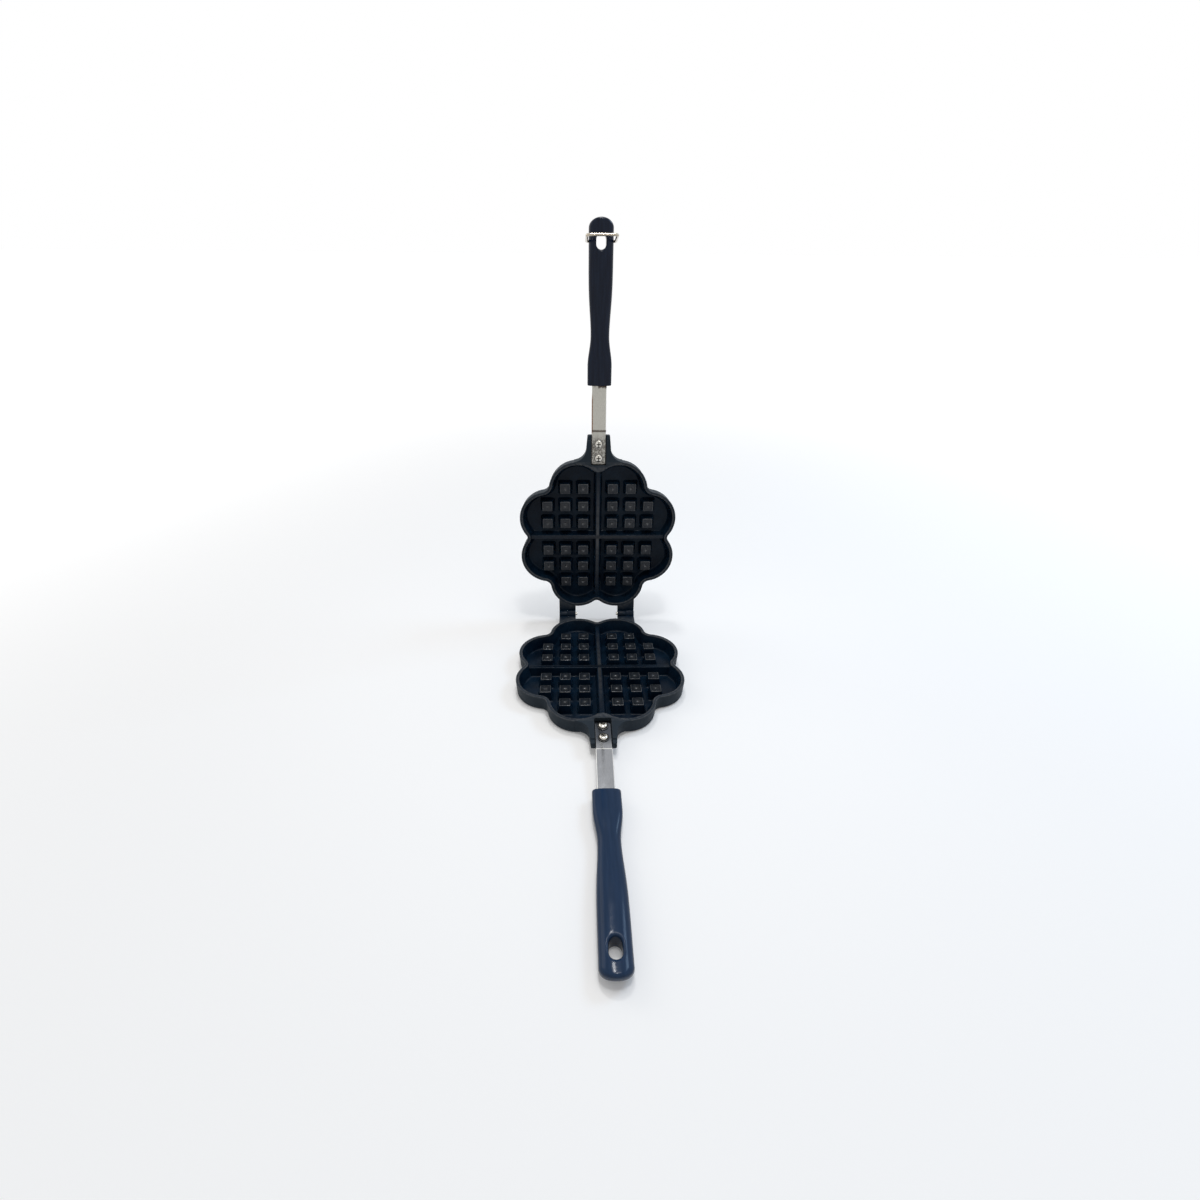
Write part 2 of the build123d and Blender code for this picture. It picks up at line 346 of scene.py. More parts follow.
class Workpiece:
    """Mesh that is built up and cut by shells, like a casting and its machining."""

    def __init__(self, name: str, shell: Shell) -> None:
        """Starts the workpiece from a shell.

        Args:
            name: Name of the piece.
            shell: The first shell, in millimetres.
        """
        self.name = name
        self.known = list(zip(shell.points, shell.traits))
        self.mesh = shell.mesh(name)

    def change(self, cut: Cut, shell: Shell) -> "Workpiece":
        """Adds a shell to the workpiece, or cuts it away.

        Args:
            cut: Whether the shell is added or cut away.
            shell: The shell, in millimetres.

        Returns:
            The workpiece itself.
        """
        self.known.extend(zip(shell.points, shell.traits))
        body = in_scene("body_of_work", self.mesh)
        tool = in_scene("tool_of_work", shell.mesh("tool"))
        modifier = body.modifiers.new("cut", "BOOLEAN")
        modifier.solver = "MANIFOLD"
        modifier.operation = cut.value
        modifier.object = tool
        graph = bpy.context.evaluated_depsgraph_get()
        self.mesh = bpy.data.meshes.new_from_object(body.evaluated_get(graph))
        self.mesh.name = self.name
        for thing in (body, tool):
            bpy.data.objects.remove(thing)
        return self

    def note_traits(self) -> None:
        """Writes each point's trait; a point that a cut made takes the mean of its neighbours'."""
        tree = KDTree(len(self.known))
        for number, (point, _) in enumerate(self.known):
            tree.insert(point, number)
        tree.balance()
        found: dict[int, Vector] = {}
        for vertex in self.mesh.vertices:
            _, number, distance = tree.find(vertex.co)
            if distance < SAME_POINT:
                found[vertex.index] = self.known[number][1].vector()
        beside: dict[int, list[int]] = {}
        for edge in self.mesh.edges:
            for here, there in (edge.vertices, reversed(edge.vertices)):
                if here not in found and there in found:
                    beside.setdefault(here, []).append(there)
        for here, others in beside.items():
            found[here] = sum((found[there] for there in others), Vector()) / len(others)
        note = self.mesh.attributes.new("trait", "FLOAT_VECTOR", "POINT")
        for index, trait in found.items():
            note.data[index].vector = trait

    def finished(self, smooth_angle: float = 32.0) -> bpy.types.Mesh:
        """Closes the work: writes the traits and sets smooth shading.

        Args:
            smooth_angle: Edges that turn by more than this many degrees stay sharp.

        Returns:
            The finished mesh, still in millimetres.
        """
        self.note_traits()
        self.mesh.shade_smooth()
        self.mesh.set_sharp_from_angle(angle=radians(smooth_angle))
        return self.mesh


@dataclass(frozen=True)
class HalfPlace:
    """Where one half of the mould stands in the model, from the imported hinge."""

    side: Side

    @property
    def name(self) -> str:
        """Word that starts the names of the half's pieces."""
        return self.side.name.lower()

    @property
    def body(self) -> str:
        """Name of the moving body that the half's pieces ride on."""
        return f"{self.name}_half"

    def matrix(self) -> Matrix:
        """Transform from the half frame's millimetres to the model's metres.

        Returns:
            The transform.
        """
        hinge = joint_of("plate_hinge")
        axis = Vector(hinge["pos_m"])
        opening = radians(hinge["range_deg"][1]) if self.side is Side.UPPER else 0.0
        turn = Matrix.Rotation(-opening, 3, "X")
        across = Vector((self.side.value, 0, 0))
        deep = turn @ Vector((0, 0, self.side.value))
        hinge_way = turn @ Vector((0, 1, 0))
        origin = axis - hinge_way * axis.y
        return standing(origin, across, hinge_way, deep) @ Matrix.Scale(MILLIMETRE, 4)


def show(
    mesh: bpy.types.Mesh,
    name: str,
    place: Matrix,
    body: str,
    node: str,
    finish: "Finish",
) -> bpy.types.Object:
    """Puts a finished mesh in the scene in place of a node of the model.

    Args:
        mesh: The mesh, in the millimetres of the frame that place turns to the model's.
        name: Name of the new object.
        place: Transform from the mesh's millimetres to the model's metres.
        body: Body that the object rides on.
        node: Node of the model that the object stands for.
        finish: What its surface looks like.

    Returns:
        The new object.
    """
    own = mesh.copy()
    own.name = name
    note = own.attributes.new("own_mm", "FLOAT_VECTOR", "POINT")
    for vertex in own.vertices:
        note.data[vertex.index].vector = vertex.co
    own.transform(place)
    if place.is_negative:
        own.flip_normals()
    piece = in_scene(name, own)
    own.materials.clear()
    own.materials.append(finish.material())
    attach(piece, body)
    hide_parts(node)
    log.info("%s: %d faces, in place of %s", name, len(own.polygons), node)
    return piece


def swept_angles(start: float, end: float, way: int, steps: int) -> list[float]:
    """Divides the turn from one direction to another.

    Args:
        start: First direction, in radians.
        end: Last direction, in radians.
        way: +1 to turn left, -1 to turn right.
        steps: How many parts the turn has.

    Returns:
        The directions, the last one left out.
    """
    turn = (end - start) * way % (2 * pi) * way
    return [start + turn * step / steps for step in range(steps)]


@dataclass(frozen=True)
class Flower:
    """Outline of the plate: eight lobes, two to each heart, joined by rounded notches."""

    lobe_out: float = 53.1
    lobe_side: float = 21.7
    lobe_radius: float = 29.9
    rib_notch_radius: float = 5.4
    heart_notch_radius: float = 8.2
    lobe_steps: int = 26
    notch_steps: int = 8

    def centres(self) -> list[Vector]:
        """Centres of the lobes, to the left round the plate.

        Returns:
            One point for each lobe.
        """
        first = [Vector((self.lobe_out, self.lobe_side)), Vector((self.lobe_side, self.lobe_out))]
        half = first + [Vector((-centre.x, centre.y)) for centre in reversed(first)]
        return half + [-centre for centre in half]

    def ring(self, inset: float, depth: float) -> list[Spot]:
        """Walks round the outline.

        Args:
            inset: How far the outline is drawn in.
            depth: Depth that its points get.

        Returns:
            The ring's points.
        """
        centres = self.centres()
        radii = [self.heart_notch_radius, self.rib_notch_radius] * 4
        notches = []
        for here, there, radius in zip(centres, centres[1:] + centres[:1], radii):
            middle = (here + there) / 2
            rise = sqrt((self.lobe_radius + radius) ** 2 - (there - here).length_squared / 4)
            notches.append(middle + middle.normalized() * rise)
        ring = []
        for number, centre in enumerate(centres):
            before, after = notches[number - 1] - centre, notches[number] - centre
            angles = swept_angles(atan2(before.y, before.x), atan2(after.y, after.x), 1, self.lobe_steps)
            reach = self.lobe_radius - inset
            ring += [(centre.x + reach * cos(a), centre.y + reach * sin(a), depth) for a in angles]
            notch, following = notches[number], centres[(number + 1) % len(centres)]
            near, far = centre - notch, following - notch
            angles = swept_angles(atan2(near.y, near.x), atan2(far.y, far.x), -1, self.notch_steps)
            reach = radii[number] + inset
            ring += [(notch.x + reach * cos(a), notch.y + reach * sin(a), depth) for a in angles]
        return ring


def prism(loop: Sequence[Flat], start: float, end: float, edge: float, steps: int = 3) -> Shell:
    """Carries a side view across the mould, with rounded edges at both ends.

    Args:
        loop: Closed side view, as places towards the hinge and depths.
        start: Where it begins across.
        end: Where it ends across.
        edge: Radius of its end edges.
        steps: Pieces in the rounding of each edge.

    Returns:
        The shell.
    """
    rings = []
    angles = [radians(90 * step / steps) for step in range(steps + 1)]
    inward = 1 if end > start else -1
    for angle in angles:
        across = start + inward * edge * (1 - sin(angle))
        rings.append([(across, *point) for point in drawn_in(loop, edge * (1 - cos(angle)))])
    rings = rings[::-1]
    far = [[(end - (point[0] - start), *point[1:]) for point in ring] for ring in reversed(rings)]
    return Shell().stack(rings + far)


def turned(
    profile: Sequence[Flat],
    start: Vector,
    way: Vector,
    sides: int = 40,
    tube: bool = False,
    traits: Trait | Sequence[Trait] = PLAIN,
) -> Shell:
    """Turns a profile round an axis, as on a lathe.

    Args:
        profile: Radii and places along the axis.
        start: Origin of the axis.
        way: Its direction.
        sides: Points round the axis.
        tube: Whether the profile is a closed one that stays off the axis.
        traits: One trait for all of it, or one for each point of the profile.

    Returns:
        The shell.
    """
    way = way.normalized()
    across = way.orthogonal().normalized()
    up = way.cross(across)
    rings = []
    for radius, along in profile:
        ring = []
        for side in range(sides):
            angle = 2 * pi * side / sides
            ring.append(tuple(start + way * along + (across * cos(angle) + up * sin(angle)) * radius))
        rings.append(ring)
    return Shell().stack(rings, traits, tube)


@dataclass(frozen=True)
class CastPlate:
    """One cast plate: flower pan, ribs, pegs, forked lug and hinge knuckles."""

    flower: Flower = Flower()
    depth: float = 16.0
    rim_depth: float = 0.15
    rim_width: float = 3.2
    rim_edge: float = 0.6
    floor_depth: float = 13.3
    floor_fillet: float = 1.7
    under_edge: float = 2.4
    cap_inset: float = 14.0
    outer_draft: float = 4.0
    cavity_draft: float = 15.5
    peg_pitch: float = 19.0
    first_peg: float = 15.5
    peg_rows: int = 3
    peg_top: float = 10.2
    peg_edge: float = 0.6
    peg_draft: float = 11.5
    grid_depth: float = 3.6
    foot_fillet: float = 1.5
    foot_sink: float = 0.03
    dimple_radius: float = 1.7
    dimple_depth: float = 0.9
    dimple_shares: tuple[float, ...] = (0.15, 0.45, 0.7, 0.88, 1.0, 1.12)
    rib_width: float = 4.2
    rib_draft: float = 10.0
    rib_reach: float = 73.9
    hinge_reach: float = 92.7
    knuckle_inner: float = 24.0
    knuckle_width: float = 9.2
    knuckle_gap: float = 0.1
    knuckle_radius: float = 4.0
    knuckle_clearance: float = 0.6
    hinge_lug_depth: float = 9.0
    hinge_edge: float = 0.45
    hinge_root: float = 60.0
    heel_reach: float = 5.5
    heel_rise: float = 4.45
    heel_lean: float = 4.3
    bore_radius: float = 1.81
    pressed_bore_radius: float = 1.75
    fork_places: tuple[float, ...] = (66.0, 82.8, 83.0, 83.4, 84.0, 85.2, 87.0, 89.2, 91.6, 94.2, 96.8)
    fork_half_width: float = 12.4
    fork_tip_half_width: float = 11.3
    fork_tip: float = 109.5
    fork_flare: float = 14.0
    fork_step_length: float = 5.0
    fork_step_depth: float = 1.2
    fork_step_line: tuple[Flat, ...] = ((-0.5, 0.0), (-0.15, 0.1), (0.0, 0.45), (0.02, 0.9), (0.3, 1.2))
    fork_root_waist: float = 1.5
    fork_root_depth: float = 13.0
    fork_tip_depth: float = 7.41
    fork_edge: float = 0.55
    fork_under_edge: float = 1.2
    slot_half_width: float = 7.85
    slot_start: float = 79.0
    slot_floor: float = 5.5
    slot_corner: float = 1.5
    slot_edge: float = 0.4
    slot_bevel: float = 0.12
    slot_run_out: float = 4.0

    def pan(self) -> Shell:
        """Outer form of the pan, with its rounded underside and rim edge.

        Returns:
            The shell, in the half's own millimetres.
        """
        wall_inset = (self.depth - self.rim_depth) * tan(radians(self.outer_draft))
        profile = rounded(
            [
                (self.cap_inset, self.depth),
                (wall_inset, self.depth),
                (0.0, self.rim_depth),
                (self.rim_width, self.rim_depth),
            ],
            [self.under_edge, self.rim_edge],
            steps=5,
            hold=0.5,
        )
        rings = [self.flower.ring(point.u, point.v) for point in profile]
        brow = self.rim_depth + 0.05
        worn_and_glinting = [Trait(0.6 if point.corner == 1 else 0.0, 1.0 if point.v > brow else 0.5) for point in profile]
        return Shell().stack(rings, worn_and_glinting)

    def cavity(self) -> Shell:
        """Hollow of the pan, its mouth flared round the rim's inner edge.

        Returns:
            The shell, in the half's own millimetres.
        """
        wall_inset = self.rim_width + (self.floor_depth - self.rim_depth) * tan(radians(self.cavity_draft))
        mouth = rounded(
            [
                (0.0, self.rim_depth),
                (self.rim_width, self.rim_depth),
                (wall_inset, self.floor_depth),
                (self.cap_inset, self.floor_depth),
            ],
            [self.rim_edge, self.floor_fillet],
            steps=5,
            hold=0.5,
        )
        start = next(number for number, point in enumerate(mouth) if point.corner == 0)
        profile = mouth[start:]
        rings = [self.flower.ring(profile[0].u, self.rim_depth - OVERSHOOT)]
        rings += [self.flower.ring(point.u, point.v) for point in profile]
        worn_and_glinting = [Trait(wear_and_glint=0.8) if point.corner == 0 else PLAIN for point in profile]
        return Shell().stack(rings, [PLAIN] + worn_and_glinting)

    def rib(self, along_x: bool) -> Shell:
        """One of the two ribs that part the hearts.

        Args:
            along_x: Whether it runs across the mould, and not towards the hinge.

        Returns:
            The shell, its foot a little below the cavity's floor.
        """
        foot_depth = self.floor_depth + self.foot_sink
        spread = (foot_depth - self.grid_depth) * tan(radians(self.rib_draft))
        top, foot = self.rib_width / 2, self.rib_width / 2 + spread
        toe = foot + self.foot_fillet
        line = rounded(
            [(-toe, foot_depth), (-foot, foot_depth), (-top, self.grid_depth)]
            + [(top, self.grid_depth), (foot, foot_depth), (toe, foot_depth)],
            [self.foot_fillet, self.peg_edge, self.peg_edge, self.foot_fillet],
            steps=5,
            hold=0.3,
        )
        loop = pairs(line) + [(toe, foot_depth + OVERSHOOT), (-toe, foot_depth + OVERSHOOT)]
        flat = self.grid_depth + 0.1
        # Rib top edges: coating bared by use, and a painted highlight line along them.
        tops = [Trait(0.7 if point.corner in (1, 2) else 0.0, 0.0, float(point.v < flat)) for point in line]
        places = [-self.rib_reach, 0.0, self.rib_reach]
        rings = [[(place, u, v) if along_x else (u, place, v) for u, v in loop] for place in places]
        shell = Shell().stack(rings)
        shell.traits = (tops + [PLAIN, PLAIN]) * len(places)
        return shell

    def peg(self, x: float, y: float) -> Shell:
        """One square peg with a round dimple in its top and a fillet round its foot.

        Args:
            x: Place of the peg's middle across the plate.
            y: Its place along the plate.

        Returns:
            The shell, in the half's own millimetres.
        """
        corner_steps = 7
        foot_depth = self.floor_depth + self.foot_sink
        top = self.peg_top / 2
        foot = top + (foot_depth - self.grid_depth) * tan(radians(self.peg_draft))
        ball = (self.dimple_radius**2 + self.dimple_depth**2) / (2 * self.dimple_depth)
        rings, traits = [], []
        for share in self.dimple_shares:
            radius = self.dimple_radius * share
            sunk = sqrt(max(ball**2 - radius**2, 0.0)) - (ball - self.dimple_depth)
            depth = self.grid_depth + (max(sunk, 0.0) if share <= 1 else 0.0)
            ring = oblong(radius, radius, radius, corner_steps)
            rings.append([(x + u, y + v, depth) for u, v in ring])
            # Dimples: marked as bare metal to paint a bright glint inside them, less at the rim.
            traits.append(Trait(wear_and_glint=1.0 if share < 0.8 else 0.3, marked=1.0))
        line = rounded(
            [(top / 2, self.grid_depth), (top, self.grid_depth), (foot, foot_depth)]
            + [(foot + self.foot_fillet, foot_depth)],
            [self.peg_edge, self.foot_fillet],
            steps=4,
            hold=0.3,
        )
        for point in line[1:]:
            corner = self.peg_edge + 0.5 * max(0.0, point.u - top)
            ring = oblong(point.u, point.u, corner, corner_steps)
            rings.append([(x + u, y + v, point.v) for u, v in ring])
            flat = float(point.v < self.grid_depth + 0.1)
            # Peg top edges: coating bared by use, and a painted highlight line along them.
            traits.append(Trait(wear_and_glint=0.8 if point.corner == 0 else 0.0, marked=flat))
        rings.append([(u, v, foot_depth + OVERSHOOT) for u, v, _ in rings[-1]])
        return Shell().stack(rings, traits + [PLAIN])

    def pegs(self) -> Shell:
        """All pegs: a square grid in each heart, without its outer corner.

        Returns:
            The shell, in the half's own millimetres.
        """
        places = [self.first_peg + row * self.peg_pitch for row in range(self.peg_rows)]
        shell = Shell()
        for x in places:
            for y in places:
                if (x, y) == (places[-1], places[-1]):
                    continue
                for across, along in ((1, 1), (1, -1), (-1, 1), (-1, -1)):
                    shell.add(self.peg(across * x, along * y))
        return shell

    def fork_ring(self, place: float, top: float, shrink: float = 0.0) -> list[Spot]:
        """Section across the forked lug, before its slot is cut.

        Args:
            place: Distance from the plate's middle towards the grip.
            top: Depth of the prongs' face.
            shrink: How far the section is drawn in, for the rounded ends.

        Returns:
            The ring's points.
        """
        flare_x = self.fork_half_width + self.fork_flare
        lobe = self.flower.lobe_radius + self.fork_flare
        flare_y = self.flower.lobe_out + sqrt(lobe**2 - (flare_x - self.flower.lobe_side) ** 2)
        root = self.flower.lobe_out + self.flower.lobe_radius
        if place >= flare_y:
            share = (place - flare_y) / (self.fork_tip - flare_y)
            half = self.fork_half_width + (self.fork_tip_half_width - self.fork_half_width) * share
        else:
            least = self.fork_root_waist**2
            half = flare_x - sqrt(max(self.fork_flare**2 - (flare_y - place) ** 2, least))
        rise = max(0.0, (place - root) / (self.fork_tip - root))
        under = self.fork_root_depth + (self.fork_tip_depth - self.fork_root_depth) * rise
        half, under, top = half - shrink, under - shrink, top + shrink
        corners = [(half, under), (half, top), (-half, top), (-half, under)]
        radii = [self.fork_under_edge, self.fork_edge, self.fork_edge, self.fork_under_edge]
        line = rounded(corners, radii, steps=4, closed=True)
        return [(point.u, -place, point.v) for point in line]

    def fork(self) -> Shell:
        """Lug for the strip, from inside the pan to the steps at the tips of its prongs.

        Returns:
            The shell, in the half's own millimetres.
        """
        step = self.fork_tip - self.fork_step_length
        face, stepped = self.rim_depth, self.rim_depth + self.fork_step_depth
        rings = [self.fork_ring(place, face) for place in self.fork_places]
        rings += [self.fork_ring(step + along, face + drop) for along, drop in self.fork_step_line]
        for angle in (0, 30, 60, 90):
            drop = self.fork_edge * (1 - cos(radians(angle)))
            along = self.fork_tip - self.fork_edge * (1 - sin(radians(angle)))
            rings.append(self.fork_ring(along, stepped, drop))
        return Shell().stack(rings, OUTSIDE)

    def slot(self) -> Shell:
        """Slot for the strip, open at the prongs' tips, with a rounded mouth.

        Returns:
            The shell, in the half's own millimetres.
        """
        start, end = self.slot_start, self.fork_tip + self.slot_run_out
        middle, half_length = (start + end) / 2, (end - start) / 2
        edge = self.slot_edge
        levels = [(edge, self.rim_depth - OVERSHOOT)]
        for step in range(5):
            along = edge * step / 4
            levels.append((quarter_drop(along, edge, edge), self.rim_depth + along))
        bevel, floor = self.slot_bevel, self.slot_floor
        levels += [(0.0, floor - edge), (-bevel, floor - bevel), (-edge, floor)]
        rings = []
        for grow, depth in levels:
            corner = self.slot_corner + grow
            loop = oblong(self.slot_half_width + grow, half_length + grow, corner, 5)
            rings.append([(u, v - middle, depth) for u, v in loop])
        return Shell().stack(rings, [Trait(0.5 if 0 < grow < edge else 0.0, 1.0) for grow, _ in levels])

    def hinge_lug(self, side: int) -> Shell:
        """Lug that carries one pair's knuckle.

        Args:
            side: +1 for the right, -1 for the left.

        Returns:
            The shell.
        """
        face = self.hinge_reach - self.knuckle_radius - self.knuckle_clearance
        outer = self.knuckle_inner + 2 * self.knuckle_width + self.knuckle_gap
        corners = [(self.hinge_root, self.rim_depth), (face, self.rim_depth)]
        corners += [(face, self.hinge_lug_depth), (self.hinge_root, self.hinge_lug_depth)]
        edge = self.hinge_edge
        loop = pairs(rounded(corners, [edge] * 4, steps=3, closed=True))
        return prism(loop, side * self.knuckle_inner, side * outer, edge)

    def knuckle(self, start: float) -> Shell:
        """Knuckle with its web and the heel that stops the opening.

        Args:
            start: Lower end of the knuckle across the mould.

        Returns:
            The shell of the web, heel and barrel, in one side view.
        """
        reach, radius = self.hinge_reach, self.knuckle_radius
        back = -radius - self.knuckle_clearance - OVERSHOOT
        lean = tan(radians(self.heel_lean))
        heel_near = -self.heel_rise
        heel_far = heel_near + self.heel_reach * lean
        corners = [
            (back, self.rim_depth),
            (-radius * 0.94, self.rim_depth),
            (-radius, -0.6),
            (-radius * 0.72, -radius * 0.72),
            (-radius * 0.3, heel_near),
            (self.heel_reach, heel_far),
            (self.heel_reach, 0.4),
            (radius * 0.8, radius * 0.62),
            (radius * 0.3, radius * 0.97),
            (-radius * 0.2, radius),
            (back, self.hinge_lug_depth),
        ]
        radii = [0.05, 0.3, 1.2, 0.6, 0.5, 0.8, 1.5, 1.5, 1.5, 0.6, 0.3]
        line = rounded(corners, radii[-1:] + radii[:-1], steps=3, closed=True)
        loop = [(reach + point.u, point.v) for point in line]
        return prism(loop, start, start + self.knuckle_width, self.hinge_edge)

    def barrel(self, start: float) -> Shell:
        """Round barrel of one knuckle, with rounded ends.

        Args:
            start: Where the knuckle starts across the plate.

        Returns:
            The shell, in the half's own millimetres.
        """
        end, edge, radius = self.knuckle_width, self.hinge_edge, self.knuckle_radius
        core = 0.2
        line = rounded([(core, 0.0), (radius, 0.0), (radius, end), (core, end)], [edge, edge], steps=3)
        return turned(pairs(line), Vector((start, self.hinge_reach, 0.0)), Vector((1, 0, 0)))

    def bore(self, start: float, radius: float) -> Shell:
        """Hole for the hinge pin through one knuckle."""
        profile = [(radius, -OVERSHOOT), (radius, self.knuckle_width + OVERSHOOT)]
        return turned(profile, Vector((start, self.hinge_reach, 0.0)), Vector((1, 0, 0)))

    def build(self) -> bpy.types.Mesh:
        """Casts the plate.

        Returns:
            The finished mesh, which both halves share.
        """
        left_start = -self.knuckle_inner - 2 * self.knuckle_width - self.knuckle_gap
        work = Workpiece("cast_plate", self.pan())
        work.change(Cut.ADD, self.fork())
        for side in (1, -1):
            work.change(Cut.ADD, self.hinge_lug(side))
        work.change(Cut.REMOVE, self.cavity())
        work.change(Cut.REMOVE, self.slot())
        for start in (self.knuckle_inner, left_start):
            work.change(Cut.ADD, self.knuckle(start))
            work.change(Cut.ADD, self.barrel(start))
        work.change(Cut.REMOVE, self.bore(self.knuckle_inner, self.bore_radius))
        work.change(Cut.REMOVE, self.bore(left_start, self.pressed_bore_radius))
        work.change(Cut.ADD, self.rib(along_x=True))
        work.change(Cut.ADD, self.rib(along_x=False))
        work.change(Cut.ADD, self.pegs())
        return work.finished()


@dataclass(frozen=True)
class Strip:
    """Flat steel handle strip: its end in the fork, two bends and the tang inside the grip."""

    width: float = 14.5
    thickness: float = 2.0
    end: float = 79.6
    end_corner: float = 1.5
    face_depth: float = 3.5
    bend: float = 113.8
    bend_radius: float = 9.0
    grip_start: float = 156.5
    tang_face_depth: float = 7.6
    tang_width: float = 10.0
    tang_shoulder: float = 8.0
    tang_end: float = 248.5
    edge: float = 0.6
    hole_radius: float = 2.2
    screw_places: tuple[float, float] = (86.4, 100.6)

    def half_width(self, place: float) -> float:
        """Half the strip's width at a place, with its rounded end corners.

        Args:
            place: Distance from the plate's middle, towards the grip.

        Returns:
            Half the width there.
        """
        if place > self.grip_start + self.tang_shoulder:
            return self.tang_width / 2
        left = max(0.0, self.end_corner - (place - self.end))
        return self.width / 2 - self.end_corner + sqrt(max(0.0, self.end_corner**2 - left**2))

    def shell(self) -> Shell:
        """The strip's shell, without its screw holes.

        Returns:
            The shell, in the half's own millimetres.
        """
        shoulder = self.grip_start + self.tang_shoulder
        corners = [
            (self.end, self.face_depth),
            (self.bend, self.face_depth),
            (self.grip_start, self.tang_face_depth),
            (self.tang_end, self.tang_face_depth),
        ]
        line = rounded(corners, [self.bend_radius] * 2, steps=8)
        steps = [self.end + self.end_corner * (1 - cos(radians(angle))) for angle in (12, 30, 50, 70, 90)]
        places = [(self.end, self.face_depth)] + [(place, self.face_depth) for place in steps]
        places += pairs(line[1:-1])
        places += [(place, self.tang_face_depth) for place in (shoulder, shoulder + 0.01, self.tang_end)]
        rings = []
        for place, face in places:
            half, back = self.half_width(place), face + self.thickness
            corners = [(half, face), (-half, face), (-half, back), (half, back)]
            ring = rounded(corners, [self.edge] * 4, steps=3, closed=True)
            rings.append([(point.u, -place, point.v) for point in ring])
        return Shell().stack(rings)

    def build(self) -> bpy.types.Mesh:
        """Forges the strip and drills its two holes.

        Returns:
            The mesh of the strip.
        """
        work = Workpiece("strip", self.shell())
        for place in self.screw_places:
            profile = [(self.hole_radius, 0.0), (self.hole_radius, 9.0)]
            work.change(Cut.REMOVE, turned(profile, Vector((0, -place, 0)), Vector((0, 0, 1))))
        return work.finished()


@dataclass(frozen=True)
class Screw:
    """Pan head screw with a cross recess."""

    place: float
    seat_depth: float = 2.7
    head_radius: float = 3.9
    head_height: float = 2.1
    shank_radius: float = 2.0
    shank_end: float = 8.6
    recess_half_length: float = 2.2
    recess_half_width: float = 0.48
    recess_depth: float = 1.2
    recess_draft: float = 0.22
    dark_foot_height: float = 0.35

    def head(self) -> Shell:
        """Shank and domed head, turned about the screw's axis.

        Returns:
            The shell, in millimetres.
        """
        radius, height, shank = self.head_radius, self.head_height, self.shank_end - self.seat_depth
        line = rounded(
            [
                (0.3, -shank),
                (self.shank_radius, -shank),
                (self.shank_radius, 0.0),
                (radius, 0.0),
                (radius, height * 0.5),
                (radius * 0.62, height * 0.96),
                (0.2, height),
            ],
            [0.4, 0.0, 0.25, 1.1, 2.6],
            steps=5,
        )
        # The foot of the head is marked to be coloured darker.
        crevice_dark = [Trait(marked=float(point.v < self.dark_foot_height)) for point in line]
        seat = Vector((0, -self.place, self.seat_depth))
        return turned(pairs(line), seat, Vector((0, 0, -1)), sides=48, traits=crevice_dark)

    def recess(self) -> Shell:
        """Cross recess, narrower towards its bottom.

        Returns:
            The shell, in millimetres.
        """
        top = self.seat_depth - self.head_height
        rings = []
        for depth, shrink in ((-0.5, -0.05), (0.25, 0.0), (self.recess_depth, self.recess_draft)):
            arm, half = self.recess_half_length - 2.2 * shrink, self.recess_half_width - shrink
            quarter = [Vector((arm, -half)), Vector((arm, half)), Vector((half, half))]
            cross = [Matrix.Rotation(turn * pi / 2, 2) @ corner for turn in range(4) for corner in quarter]
            rings.append([(corner.x, corner.y - self.place, top + depth) for corner in cross])
        # The recess's bottom is marked to be coloured darker.
        return Shell().stack(rings, [PLAIN, PLAIN, Trait(marked=1.0)])

    def build(self) -> bpy.types.Mesh:
        """Heads the screw and presses its recess."""
        return Workpiece("screw", self.head()).change(Cut.REMOVE, self.recess()).finished(smooth_angle=28.0)


@dataclass(frozen=True)
class Washer:
    """Flat washer with rounded edges."""

    place: float
    inner_radius: float = 2.2
    outer_radius: float = 5.0
    face_depth: float = Screw.seat_depth
    thickness: float = 0.8
    edge: float = 0.22
    under_head: float = Screw.head_radius
    clear_of_head: float = 4.3

    def build(self) -> bpy.types.Mesh:
        """Stamps the washer, marking the ring next to the screw's head to be coloured darker.

        Returns:
            The mesh of the washer.
        """
        places = (self.inner_radius, self.under_head, self.clear_of_head, self.outer_radius)
        corners = [(place, 0.0) for place in places]
        corners += [(self.outer_radius, self.thickness), (self.inner_radius, self.thickness)]
        radii = [self.edge, 0.0, 0.0, self.edge, self.edge, self.edge]
        line = rounded(corners, radii, steps=3, closed=True)
        reach = (self.under_head + self.clear_of_head) / 2
        crevice_dark = [Trait(marked=float(point.u < reach)) for point in line]
        start = Vector((0, -self.place, self.face_depth))
        shell = turned(pairs(line), start, Vector((0, 0, 1)), sides=56, tube=True, traits=crevice_dark)
        return Workpiece("washer", shell).finished(smooth_angle=50.0)


@dataclass(frozen=True)
class HingePin:
    """Pin through one pair of knuckles, in the model's millimetres from the hinge axis."""

    side: int
    radius: float = CastPlate.pressed_bore_radius
    knuckle_inner: float = CastPlate.knuckle_inner
    stand_out: float = 1.8
    length: float = 20.3
    chamfer: float = 0.35

    def build(self) -> bpy.types.Mesh:
        """Turns the pin.

        Returns:
            The mesh of the pin.
        """
        line = rounded(
            [(0.2, 0.0), (self.radius, 0.0), (self.radius, self.length), (0.2, self.length)],
            [self.chamfer, self.chamfer],
            steps=4,
        )
        start = Vector((self.side * (self.knuckle_inner - self.stand_out), 0, 0))
        shell = turned(pairs(line), start, Vector((self.side, 0, 0)))
        return Workpiece("pin", shell).finished(smooth_angle=40.0)

    def place(self) -> Matrix:
        """Transform from millimetres about the hinge axis to the model's metres."""
        origin = Vector(joint_of("plate_hinge")["pos_m"])
        return Matrix.Translation(origin) @ Matrix.Scale(MILLIMETRE, 4)


